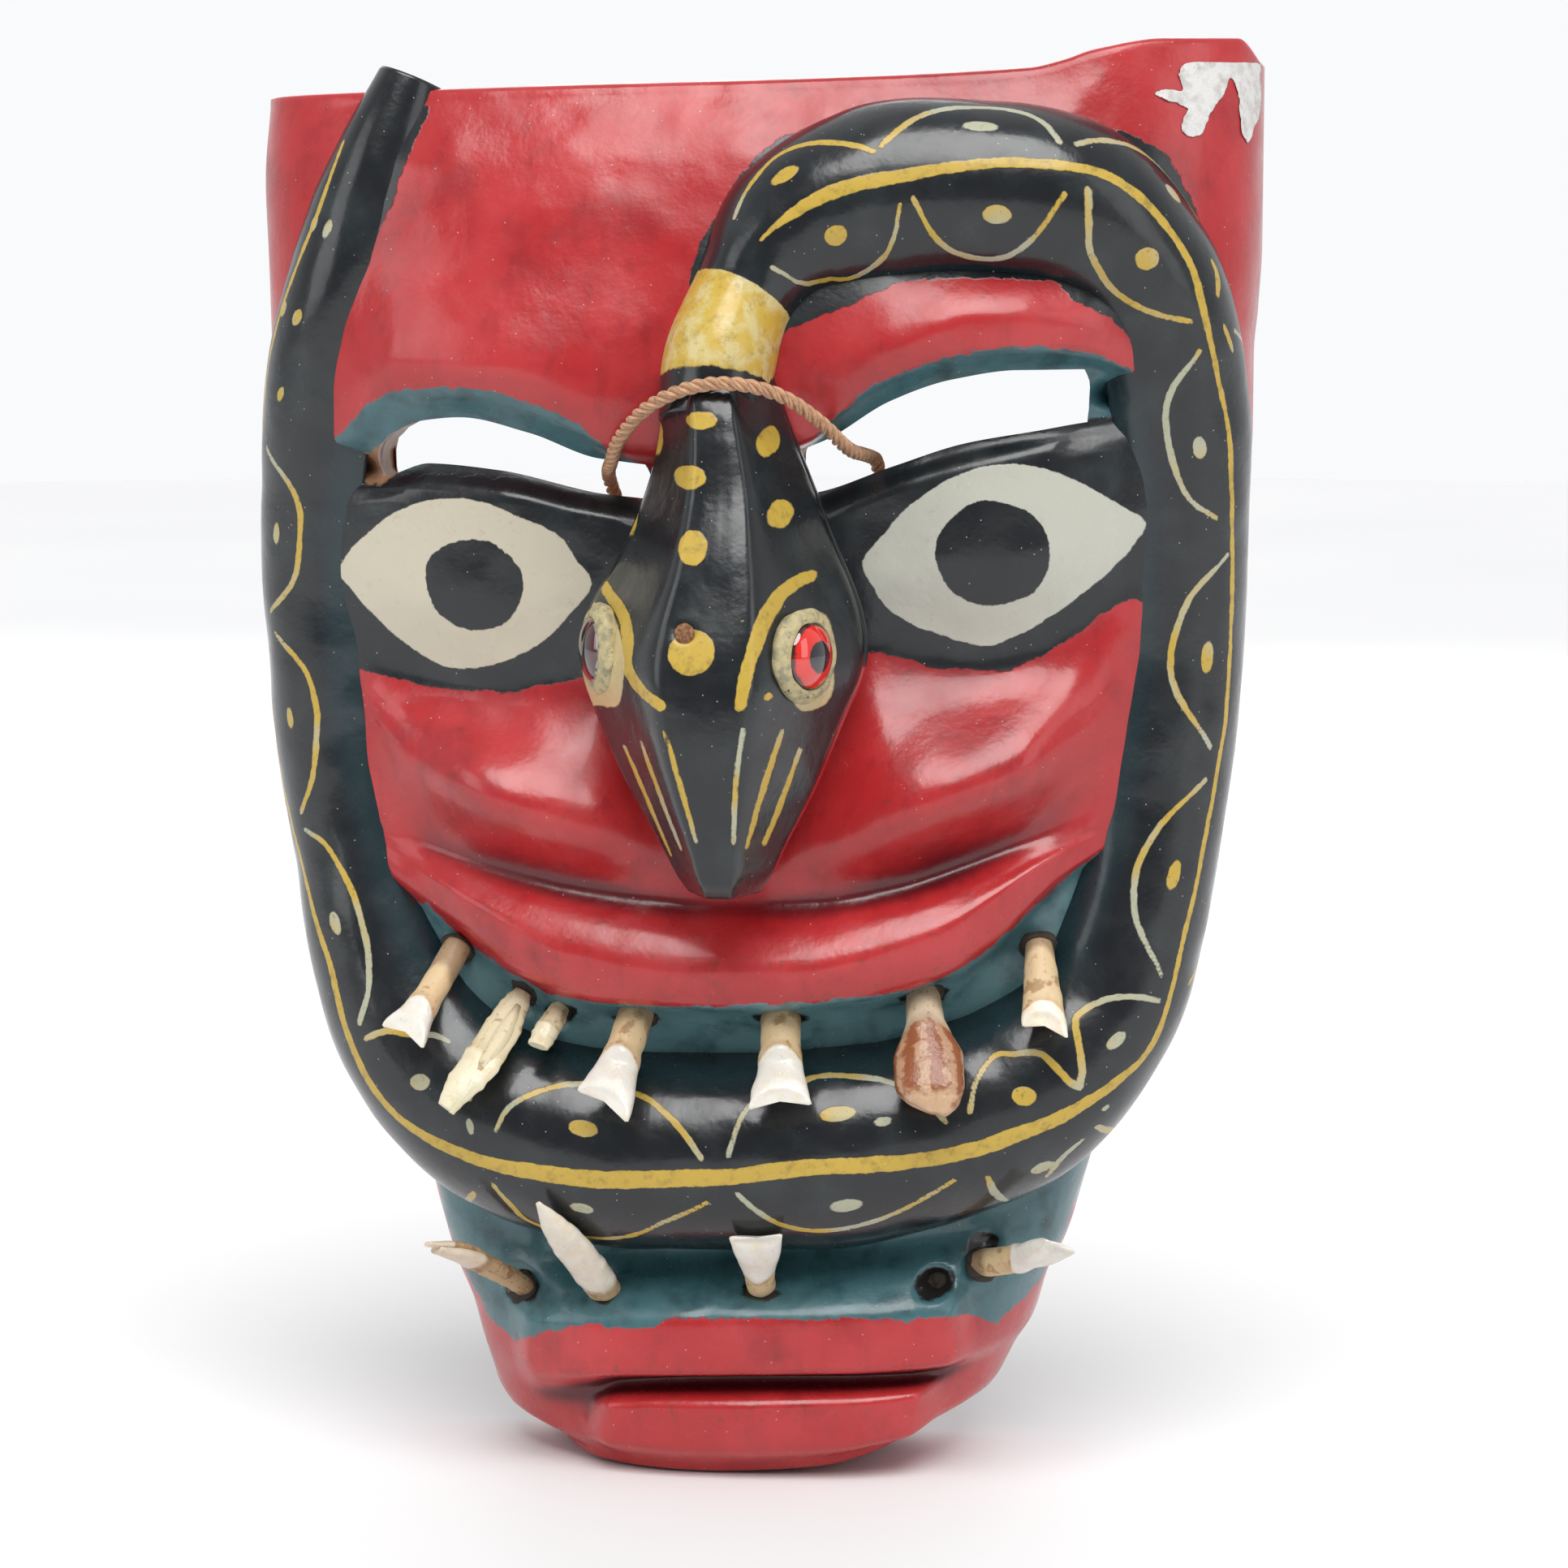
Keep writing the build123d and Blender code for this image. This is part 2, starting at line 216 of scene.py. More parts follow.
class Finish:
    # a material built up node by node; each call gives back an output socket
    def __init__(self, name):
        self.material = bpy.data.materials.new(name)
        self.material.use_nodes = True
        self.tree = self.material.node_tree
        self.shader = self.tree.nodes["Principled BSDF"]
        self.place = self.tree.nodes.new("ShaderNodeTexCoord").outputs["Object"]

    def link(self, value, socket):
        if isinstance(value, bpy.types.NodeSocket):
            self.tree.links.new(value, socket)
        else:
            socket.default_value = value

    def mark(self, name):
        node = self.tree.nodes.new("ShaderNodeAttribute")
        node.attribute_name = name
        return node.outputs["Fac"]

    def math(self, kind, a, b=0.0, c=0.0, clamp=False):
        node = self.tree.nodes.new("ShaderNodeMath")
        node.operation = kind
        node.use_clamp = clamp
        for value, socket in zip((a, b, c), node.inputs):
            self.link(value, socket)
        return node.outputs[0]

    def noise(self, size, detail=3.0, rough=0.55, stretch=None):
        # cloud pattern; size is the width of one patch in millimetres
        node = self.tree.nodes.new("ShaderNodeTexNoise")
        node.inputs["Scale"].default_value = 1 / (size * mm)
        node.inputs["Detail"].default_value = detail
        node.inputs["Roughness"].default_value = rough
        if stretch:
            mapping = self.tree.nodes.new("ShaderNodeMapping")
            mapping.inputs["Scale"].default_value = stretch
            self.link(self.place, mapping.inputs["Vector"])
            self.link(mapping.outputs[0], node.inputs["Vector"])
        else:
            self.link(self.place, node.inputs["Vector"])
        return node.outputs["Fac"]

    def cells(self, size, randomness=1.0):
        node = self.tree.nodes.new("ShaderNodeTexVoronoi")
        node.inputs["Scale"].default_value = 1 / (size * mm)
        node.inputs["Randomness"].default_value = randomness
        self.link(self.place, node.inputs["Vector"])
        return node.outputs["Distance"], node.outputs["Color"]

    def between(self, value, low, high):
        # 0 below low, 1 above high, smooth between
        node = self.tree.nodes.new("ShaderNodeMapRange")
        node.interpolation_type = "SMOOTHSTEP"
        node.inputs["From Min"].default_value = low
        node.inputs["From Max"].default_value = high
        self.link(value, node.inputs["Value"])
        return node.outputs["Result"]

    def mix(self, share, first, second):
        node = self.tree.nodes.new("ShaderNodeMix")
        node.data_type = "RGBA"
        self.link(share, node.inputs[0])
        for value, socket in ((first, node.inputs[6]), (second, node.inputs[7])):
            if isinstance(value, (tuple, list)):
                socket.default_value = (*value, 1.0)
            else:
                self.link(value, socket)
        return node.outputs[2]

    def blend(self, share, first, second):
        # plain numbers mixed by a share
        return self.math("ADD", self.math("MULTIPLY", self.math("SUBTRACT", 1.0, share), first),
                         self.math("MULTIPLY", share, second))

    def brushed(self, mark, ragged=0.7, soft=0.25, shift=0.0):
        # 1 inside a painted shape, 0 outside, with a hand-brushed edge: its distance is nudged by two noises
        fine = self.math("MULTIPLY_ADD", self.noise(1.6, 2.0), ragged * 1.2, -ragged * 0.6)
        broad = self.math("MULTIPLY_ADD", self.noise(6.0, 1.0), ragged * 1.6, -ragged * 0.8)
        distance = self.math("ADD", self.mark(mark), self.math("ADD", fine, broad))
        return self.math("SUBTRACT", 1.0, self.between(distance, shift - soft, shift + soft))

    def put(self, color=None, roughness=None, height=None, bumpDepth=0.1, **fixed):
        if color is not None:
            if isinstance(color, tuple):
                self.shader.inputs["Base Color"].default_value = (*color, 1.0)
            else:
                self.link(color, self.shader.inputs["Base Color"])
        if roughness is not None:
            self.link(roughness, self.shader.inputs["Roughness"])
        if height is not None:
            bump = self.tree.nodes.new("ShaderNodeBump")
            bump.inputs["Strength"].default_value = 1.0
            bump.inputs["Distance"].default_value = bumpDepth * mm
            self.link(height, bump.inputs["Height"])
            self.link(bump.outputs[0], self.shader.inputs["Normal"])
        for key, value in fixed.items():
            self.shader.inputs[key].default_value = value
        return self.material


paints = {
    "red": (0.42, 0.020, 0.023),
    "redLight": (0.50, 0.036, 0.040),
    "redDark": (0.075, 0.004, 0.008),
    "black": (0.0085, 0.0105, 0.0130),
    "blackWorn": (0.020, 0.028, 0.030),
    "teal": (0.052, 0.142, 0.162),
    # lighter teal, painted light on the upper lip's underside
    "tealLit": (0.105, 0.215, 0.235),
    "tealDark": (0.014, 0.045, 0.055),
    "cream": (0.56, 0.515, 0.40),
    "creamGrey": (0.50, 0.50, 0.43),
    "yellow": (0.56, 0.375, 0.048),
    "yellowDark": (0.30, 0.20, 0.03),
    "stroke": (0.46, 0.46, 0.33),
    "wood": (0.27, 0.12, 0.055),
    "woodDark": (0.09, 0.038, 0.018),
    "dust": (0.62, 0.60, 0.58),
}


def dusty(finish, color, amount=0.5):
    # specks of dust and lint: the middles of small cells, only some of which show
    distance, tint = finish.cells(3.2)
    few = finish.between(finish.math("FRACT", finish.math("MULTIPLY", tint, 7.31)), 0.45, 0.5)
    speck = finish.math("MULTIPLY", finish.math("SUBTRACT", 1.0, finish.between(distance, 0.045, 0.075)), few)
    return finish.mix(finish.math("MULTIPLY", speck, amount), color, paints["dust"])


def redPaint(finish):
    # several thin coats: broad cloudy patches, brush streaks and darker pooling
    cloud = finish.noise(38, 4)
    streak = finish.noise(5, 3, stretch=(1, 1, 0.25))
    red = finish.mix(finish.between(cloud, 0.42, 0.72), paints["red"], paints["redLight"])
    red = finish.mix(finish.math("MULTIPLY", finish.between(streak, 0.50, 0.85), 0.30), red, paints["redDark"])
    return finish.mix(finish.math("MULTIPLY", finish.between(finish.noise(27, 5, 0.62), 0.50, 0.70), 0.30), red, paints["redDark"])


def facePaint():
    f = Finish("carved face paint")
    # painted shade: by the fold mark, the red is darkened towards dark maroon in hollows and creases
    fold = f.mark("fold")
    color = redPaint(f)
    color = f.mix(f.math("MULTIPLY", f.between(fold, 0.03, 0.75), 0.92), color, paints["redDark"])
    teal = f.brushed("teal", 1.7, 0.3)
    # painted light: where the upper lip's underside faces down, the teal is a lighter copy of the gum's teal
    tealTone = f.mix(f.mark("lip"), paints["teal"], paints["tealLit"])
    tealTone = f.mix(f.between(f.noise(9, 4), 0.42, 0.85), tealTone, paints["tealDark"])
    # painted shade: the teal darkens in the same hollows and creases
    tealTone = f.mix(f.math("MULTIPLY", f.between(fold, 0.1, 0.9), 0.55), tealTone, paints["tealDark"])
    color = f.mix(teal, color, tealTone)
    black = f.brushed("black", 1.2, 0.3)
    blackTone = f.mix(f.between(f.noise(14, 4), 0.45, 0.8), paints["black"], paints["blackWorn"])
    color = f.mix(black, color, blackTone)
    white = f.brushed("white", 0.6, 0.22)
    stain = f.between(f.noise(4, 5, 0.7), 0.58, 0.8)
    creamTone = f.mix(f.between(f.mark("across"), -20, 20), paints["cream"], paints["creamGrey"])
    creamTone = f.mix(f.math("MULTIPLY", stain, 0.35), creamTone, paints["wood"])
    color = f.mix(white, color, creamTone)
    color = f.mix(f.brushed("pupil", 0.8, 0.22), color, paints["black"])
    bare = f.brushed("bare", 1.6, 0.5)
    grain = f.noise(3, 5, stretch=(1, 1, 0.3))
    color = f.mix(bare, color, f.mix(grain, (0.16, 0.07, 0.032), (0.42, 0.22, 0.115)))
    color = f.mix(f.brushed("hole", 0.9, 0.4), color, (0.012, 0.010, 0.009))
    wear = f.math("MULTIPLY", f.between(f.mark("edge"), 0.35, 0.9), f.between(f.noise(2.2, 4), 0.58, 0.68))
    color = f.mix(f.math("MULTIPLY", wear, 0.35), color, paints["woodDark"])
    color = dusty(f, color, 0.55)
    rough = f.blend(f.between(f.noise(16, 4), 0.35, 0.75), 0.24, 0.40)
    rough = f.math("ADD", rough, f.math("MULTIPLY", f.math("MAXIMUM", bare, f.mark("matt")), 0.35))
    layers = f.math("ADD", f.math("MULTIPLY", f.math("ADD", f.math("ADD", teal, black), white), 0.35),
                    f.math("MULTIPLY", f.noise(1.1, 3), 0.25))
    layers = f.math("ADD", layers, f.math("MULTIPLY", f.noise(7, 2), 1.1))
    return f.put(color, rough, layers, 0.22, **{"Specular IOR Level": 0.5, "Coat Weight": 0.25, "Coat Roughness": 0.12})


def snakePaint(name, onHead=False):
    f = Finish(name)
    color = f.mix(f.between(f.noise(16, 5), 0.46, 0.8), paints["black"], paints["blackWorn"])
    color = f.mix(f.math("MULTIPLY", f.between(f.mark("fold"), 0.2, 1.0), 0.5), color, paints["tealDark"])
    worn = f.noise(1.2, 4, 0.65)
    pale = f.brushed("stroke", 0.42, 0.18)
    paleTone = f.mix(f.between(f.noise(22, 1), 0.40, 0.60), paints["stroke"], paints["yellow"])
    paleTone = f.mix(f.between(worn, 0.55, 0.85), paleTone, paints["blackWorn"])
    color = f.mix(f.math("MULTIPLY", pale, 0.9), color, paleTone)
    line = f.brushed("line", 0.55, 0.2)
    lineTone = f.mix(f.between(f.noise(3.0, 4, 0.7), 0.46, 0.80), paints["yellow"], paints["yellowDark"])
    color = f.mix(f.math("MULTIPLY", line, 0.94), color, lineTone)
    painted = f.math("MAXIMUM", pale, line)
    if onHead:
        under = f.brushed("under", 0.5, 0.25)
        color = f.mix(under, color, redPaint(f))
        color = f.mix(f.brushed("surround", 0.5, 0.3), color, f.mix(worn, paints["cream"], paints["yellow"]))
        color = f.mix(f.brushed("seam", 0.3, 0.3), color, (0.012, 0.006, 0.006))
    else:
        collar = f.brushed("collar", 1.0, 0.3)
        patch = f.noise(7, 5, 0.65)
        collarTone = f.mix(f.between(patch, 0.42, 0.62), paints["yellow"], (0.60, 0.50, 0.22))
        collarTone = f.mix(f.math("MULTIPLY", f.between(f.noise(4, 5, 0.7), 0.50, 0.72), 0.65), collarTone, paints["yellowDark"])
        color = f.mix(collar, color, collarTone)
        painted = f.math("MAXIMUM", painted, collar)
        color = f.mix(f.brushed("hole", 0.8, 0.4), color, (0.012, 0.010, 0.009))
    color = dusty(f, color, 0.5)
    rough = f.blend(f.between(f.noise(13, 4), 0.35, 0.75), 0.20, 0.36)
    rough = f.math("ADD", rough, f.math("MULTIPLY", painted, 0.18))
    layers = f.math("ADD", f.math("MULTIPLY", painted, 0.45), f.math("MULTIPLY", f.noise(1.1, 3), 0.2))
    layers = f.math("ADD", layers, f.math("MULTIPLY", f.noise(7, 2), 1.0))
    return f.put(color, rough, layers, 0.2, **{"Specular IOR Level": 0.5, "Coat Weight": 0.3, "Coat Roughness": 0.10})


def bareWood():
    f = Finish("gouged bare wood")
    grain = f.noise(2.2, 6, 0.6, stretch=(1, 1, 0.12))
    color = f.mix(f.between(grain, 0.35, 0.7), paints["woodDark"], paints["wood"])
    color = f.mix(f.math("MULTIPLY", f.between(f.noise(30, 4), 0.4, 0.75), 0.6), color, (0.36, 0.19, 0.10))
    spill = f.brushed("redEdge", 2.0, 0.6)
    color = f.mix(spill, color, paints["redDark"])
    cut, _ = f.cells(11, 0.9)
    height = f.math("ADD", f.math("MULTIPLY", cut, 1.4), f.math("MULTIPLY", grain, 0.35))
    return f.put(color, f.blend(grain, 0.62, 0.8), height, 1.0, **{"Specular IOR Level": 0.3})


# ---- the carved face ----

# Each level is a line across the face, from the chin up: its name, the rim's half width left and right,
# and its knots (across, height, depth ahead of the rim). Between two levels the wood curves smoothly.
faceShape = {
    "power": 3.2,          # how square the face is across: 2 is an ellipse
    "columns": 290,
    "rowStep": 1.36,
    "edgeRound": 3.0,
    "levels": [
        ("base edge", (58, 52), [(-58, 7, 46), (-42, 4, 52), (-10, 3.3, 54), (20, 5, 54), (46, 11, 52), (54, 14, 49)]),
        ("chin", (74, 70), [(-74, 13, 44), (-56, 10, 47), (-46, 9.5, 52), (-38, 10, 59), (0, 10, 61), (48, 13.5, 60),
                            (57, 17, 52), (70, 20, 44)]),
        ("chin top", (77, 74), [(-77, 18, 45), (-58, 16.5, 49), (-45, 18, 51), (-37, 21, 60), (0, 23.2, 62), (50, 25, 61),
                                (58, 26, 51), (74, 27, 44)]),
        ("chin groove", (78, 76), [(-78, 21.5, 46), (-58, 20.5, 51), (-44, 22.5, 51), (-34, 25.8, 50.5), (0, 28, 50),
                                   (47, 29, 50), (57, 29.5, 50), (76, 31, 44)]),
        ("lower lip", (81, 81), [(-81, 31, 46), (-68, 29, 53), (-60, 30, 62), (0, 33, 64.5), (59, 35, 62.5), (66, 36, 55),
                                 (81, 39, 44)]),
        ("gum rim", (84, 85), [(-84, 42, 46), (-69, 40, 53), (-60, 43, 61), (0, 47, 64), (59, 48.5, 62), (66, 47, 54),
                               (74, 49, 50), (85, 52, 44)]),
        ("gum", (89, 90), [(-89, 54, 47), (-64, 52, 51), (-50, 52, 56), (0, 55, 58), (56, 57, 56), (72, 58, 50), (90, 62, 44)]),
        ("gum root", (98, 99), [(-98, 86, 46), (-86, 79, 46), (-72, 70, 45), (-58, 63, 46), (0, 65, 46), (60, 71, 45),
                                (80, 80, 44), (99, 92, 44)]),
        ("mouth", (110, 111), [(-110, 118, 46), (-90, 108, 46), (-60, 97, 46), (0, 94, 46), (60, 101, 46), (90, 114, 46),
                               (111, 126, 44)]),
        ("lip underside", (119, 121), [(-119, 168, 50), (-101, 160, 55), (-90, 147, 57), (-73, 134, 58), (-46, 125, 58),
                                       (6, 125, 58), (46, 132, 58), (72, 141, 58), (90, 155, 57), (103, 172, 54),
                                       (121, 182, 50)]),
        ("lip turn", (122, 124), [(-122, 180, 56), (-99, 167, 59), (-82, 157.5, 63), (-62, 145, 67), (-37, 138.5, 70.5),
                                  (0, 137.5, 72), (35, 140.5, 71.5), (60, 147, 68), (71, 154, 65), (91, 173, 60),
                                  (103, 180, 57), (124, 192, 55)]),
        ("lip edge", (124, 126), [(-124, 184, 62), (-98, 171, 66), (-79, 162, 72), (-60, 149, 77), (-35, 142, 80),
                                  (0, 141, 82), (35, 144, 81), (60, 151, 78), (71, 158, 75), (92, 177, 67),
                                  (103, 183, 63), (126, 196, 60)]),
        ("lip crest", (127, 128), [(-127, 196, 62), (-99, 178, 64), (-76, 168, 75), (-44, 155, 83), (-10, 151, 86),
                                   (23, 152.5, 85.5), (57, 162, 82), (88, 180.5, 70), (103, 187, 62.5), (128, 204, 62)]),
        ("lip back", (129, 130), [(-129, 204, 62), (-101, 182, 62.5), (-76, 173, 70.5), (-42, 163, 79), (-6, 159.5, 81.5),
                                  (24, 161, 81), (54, 168, 78), (84, 182, 68), (102, 190, 62), (130, 209, 62)]),
        ("fold", (130, 131), [(-130, 214, 62), (-103, 188, 62), (-91, 183, 62), (-77, 179, 65), (-63, 175.5, 67.5),
                              (-40, 171.5, 70), (-3, 168.5, 72.5), (26, 170, 72), (46, 174, 70), (80, 186, 65),
                              (100, 195, 62), (131, 216, 62)]),
        ("cheek", (132, 133), [(-132, 229, 64), (-108, 215, 60), (-93, 206, 68), (-67, 198, 82), (-40, 191, 80),
                               (-18, 184, 73), (0, 181, 71), (20, 186, 75), (54, 198, 85), (80, 207, 80),
                               (97, 215, 68), (110, 224, 62), (133, 240, 64)]),
        ("cheek top", (134, 136), [(-135, 246, 65), (-112, 235, 61), (-92, 229, 58), (-67, 226, 60), (-44, 229, 62),
                                   (0, 232, 63), (35, 239, 61), (63, 235, 59), (83, 238, 59), (96, 245, 61),
                                   (109, 255, 62), (136, 264, 65)]),
        ("eye", (137, 140), [(-137, 265, 65), (-110, 257, 63), (-75, 255, 66), (-40, 256, 64), (0, 258, 64),
                             (35, 262, 64), (72, 266, 67), (110, 275, 64), (140, 284, 65)]),
        ("sill", (138, 141), [(-138, 277, 64), (-118, 278, 61), (-95, 280.5, 64), (-67, 280, 65), (-36, 274, 63),
                              (0, 271, 62), (24, 275, 63), (45, 283, 64), (70, 290, 65), (92, 294, 63), (112, 296, 61),
                              (141, 297, 64)]),
        ("slit bottom", (138, 141), [(-138, 284, 62), (-119, 284, 57), (-101, 284.5, 57), (-87, 288.5, 59), (-67, 287, 59),
                                     (-36, 280.5, 58), (0, 278, 58), (22, 281.5, 58), (43, 289, 59), (63, 295.5, 60),
                                     (83, 299, 60), (95, 301, 58), (112, 303, 57), (141, 304, 62)]),
        ("slit top", (138, 141), [(-138, 290, 64), (-119, 289.5, 61), (-105, 291, 61), (-97, 297, 65), (-87, 301, 67),
                                  (-76, 302, 67), (-57, 298, 67), (-37, 291, 66), (0, 288, 65), (24, 296, 66),
                                  (43, 307.5, 67), (60, 313.5, 68), (78, 316, 68), (95, 316, 65), (112, 311, 61),
                                  (141, 310, 62)]),
        ("brow edge", (138, 141), [(-138, 297, 66), (-119, 293, 67), (-109, 299, 71), (-101, 307, 74), (-89, 310.5, 76),
                                   (-67, 310, 77), (-43, 302, 77), (-34, 296, 76), (0, 294, 74), (20, 299, 75),
                                   (39, 313, 77), (54, 319.5, 77), (69, 323, 78), (83, 323, 77), (98, 321, 73),
                                   (113, 315, 67), (141, 318, 63)]),
        ("brow", (139, 142), [(-139, 316, 66), (-115, 310, 70), (-90, 318, 78), (-60, 317, 80), (-35, 309, 79),
                              (0, 309, 76), (25, 314, 77), (45, 323, 79), (70, 330, 79), (95, 328, 75),
                              (115, 322, 67), (142, 330, 62)]),
        ("forehead", (140, 143), [(-140, 345, 63), (-100, 345, 67), (-50, 345, 70), (0, 345, 70), (60, 346, 68),
                                  (110, 347, 64), (143, 350, 60)]),
        ("high forehead", (141, 143), [(-141, 368, 57), (-90, 370, 60), (0, 373, 61), (60, 375, 59), (110, 379, 57),
                                       (143, 380, 54)]),
        ("top edge", (140, 143), [(-140, 386, 47), (-132, 387, 48), (-54, 390, 50), (18, 392, 50), (79, 395, 50),
                                  (88, 397, 50), (97, 400, 50), (116, 403, 48), (136, 403, 46), (143, 395, 44)]),
    ],
    # where roots, nails and knife marks break the surface: across, height, half size, depth of the dent
    "dents": [((-110, 287.5), (12, 4.6), 10), ((103, 309), (9, 5), 9), ((55, 57), (6.5, 5.2), 7),
              ((-64, 52), (7, 6), 4), ((-39, 55), (5, 5), 3), ((6, 56), (4, 4), 2.5), ((69, 66), (6, 5), 4),
              ((-80, 150), (5, 4), 3), ((-60, 137), (4, 4), 3), ((-51, 134), (6, 4.5), 4), ((-28, 134), (6, 3.5), 2.5),
              ((13, 134.5), (7, 4), 3), ((53, 141), (6, 4), 3), ((84, 153), (5, 4), 3)],
    "slits": {"left": (-101, -24), "right": (18, 96)},
    "slitFall": 3.5,       # how much lower a slit's sill is at the hollow
}


def unitSection(power, count, aspect):
    # half a superellipse, |across|^p + |forward|^p = 1, cut into equal steps along its length
    turn = np.linspace(-np.pi / 2, np.pi / 2, 6001)
    across = np.sign(turn) * np.abs(np.sin(turn)) ** (2 / power)
    forward = np.clip(np.cos(turn), 0, 1) ** (2 / power)
    line = evenSteps(np.stack([across, forward * aspect], 1), count)
    line[0], line[-1] = (-1, 0), (1, 0)
    return line[:, 0], line[:, 1] / aspect


def facePoints(shape):
    # every level is worked out over the columns, then each column runs smoothly through its levels;
    # at the top and the base the section shrinks back to the rim's plane and closes the block
    across, forward = unitSection(shape["power"], shape["columns"], 0.45)
    xs, zs, ds = [], [], []
    for _, (left, right), knots in shape["levels"]:
        x = np.where(across < 0, left, right) * across
        z, d = through(knots, x).T
        xs.append(x); zs.append(z); ds.append(d)
    stack = np.stack([xs, zs, ds], -1).reshape(len(xs), -1)
    rise = [max(np.abs(b - a).mean(), 1.0) for a, b in zip(zs[:-1], zs[1:])]
    place = np.concatenate([[0], np.cumsum(rise)])
    counts = [max(2, int(round(r / shape["rowStep"]))) for r in rise]
    rows, levelRow, at = [], [0], []
    for start, end, n in zip(place[:-1], place[1:], counts):
        at.append(np.linspace(start, end, n, endpoint=False))
        levelRow.append(levelRow[-1] + n)
    at = np.concatenate(at + [[place[-1]]])
    grid = throughRows(place, stack, at).reshape(len(at), -1, 3)
    x, z, d = grid[..., 0], grid[..., 1], grid[..., 2]
    cut = np.abs(forward) ** 0.5
    d = d + cut * (0.55 * unevenness(x, z, 21, 3) + 0.22 * unevenness(x, z, 8, 4))
    for centre, size, deep in shape["dents"]:
        d = d - deep * spot(x, z, centre, size)
    y = -d * forward
    row = np.arange(len(at), dtype=float)
    names = [name for name, _, _ in shape["levels"]]
    low, high = levelRow[names.index("slit bottom")], levelRow[names.index("slit top")]
    for side, ends in shape["slits"].items():
        for end, inward in zip(ends, (1, -1)):
            share = np.clip(np.abs(row - (low + high) / 2) / ((high - low) / 2 + 2), 0, 1.6)[:, None]
            pull = inward * (3.2 * share ** 3 - 1.2) * (share < 1.6) + 0.9 * unevenness(row[:, None], end + 0 * row[:, None], 2.2, 9)
            x = x + pull * np.exp(-((x - end) / 6.5) ** 2) * np.clip(1.9 - share, 0, 1)
    shrink = [(0.0, 1.0), (0.2, 1.0), (0.4, 1.0), (0.6, 1.0), (0.8, 1.0), (0.9, 0.99), (0.95, 0.93), (0.975, 0.8), (0.99, 0.5)]
    r = shape["edgeRound"]
    low = np.stack([np.stack([x[0], y[0] * m, np.maximum(z[0] - r * k, 0.0)], -1) for m, k in shrink])
    high = np.stack([np.stack([x[-1], y[-1] * m, z[-1] + r * k], -1) for m, k in reversed(shrink)])
    points = np.concatenate([low, np.stack([x, y, z], -1), high])
    return points, [row + len(low) for row in levelRow], across


face, levelRow, faceAcross = facePoints(faceShape)
levelNames = [name for name, _, _ in faceShape["levels"]]
slitRows = levelRow[levelNames.index("slit bottom")], levelRow[levelNames.index("slit top")]
print("carved face:", face.shape)


def slitColumns(side):
    # first and last column of an eye slit
    low, high = faceShape["slits"][side]
    x = face[slitRows[0], :, 0]
    return int(np.argmin(abs(x - low))), int(np.argmin(abs(x - high)))


# ---- the snake's body ----

# Knots of the body's middle line from the tail to the neck: across, height, depth of the middle,
# half width, half thickness, and the way the back faces (degrees round to the right, degrees up)
bodyShape = {
    "knots": [
        (-93, 394, 36, 10, 12, -30, 0), (-99, 378, 39, 13, 14, -32, 0), (-105.5, 358, 41, 16.5, 16.5, -36, 0),
        (-111, 336, 40, 18.5, 18.5, -45, 0), (-115.5, 310, 35, 21, 21, -60, 0), (-117, 280, 29, 22.5, 22.5, -74, 0),
        (-116.5, 236, 27, 22.5, 22.5, -78, 0), (-113, 197, 28, 22.5, 22.5, -76, 0), (-108, 174, 31, 22.5, 23, -70, 0),
        (-102, 150, 35, 23.5, 24.5, -60, -5), (-92, 126, 39, 25.5, 27, -44, -10), (-72, 106, 44, 28, 29.5, -20, -10),
        (-46, 96.5, 48, 29.5, 30, -6, -10), (-7, 95, 50, 29.5, 30, 0, -10), (28, 97, 49, 29.5, 30, 3, -10),
        (56, 103.5, 46, 29, 30, 12, -10), (80, 115.5, 42, 27.5, 29, 30, -10), (98, 136, 37, 23.5, 26, 48, -5),
        (107.5, 164, 33, 22.5, 23.5, 60, 0), (112.5, 190, 30, 22.5, 22.5, 66, 0), (117, 236, 27, 22.5, 22.5, 68, 0),
        (118, 275, 29, 22.5, 22.5, 66, 0), (117.5, 306, 33, 22.5, 22.5, 58, 4), (109.5, 341, 43, 21.5, 22, 38, 9),
        (92, 359.5, 51, 24, 23, 20, 14), (62, 364.5, 55, 25, 23.5, 4, 16), (36, 362, 57, 25.5, 23.5, 0, 16),
        (15, 352, 61, 21.5, 22, -4, 12), (3, 335, 68, 15, 19, -2, 10), (-3, 318, 77, 15.5, 18.5, 0, 0),
        (-4, 302, 82, 15, 16, 0, 0),
    ],
    "rows": 900,
    "outer": 92,           # columns over the visible back
    "inner": 12,           # columns of the flat side let into the wood
    "reach": 100,          # degrees round to where the back meets the flat side
}


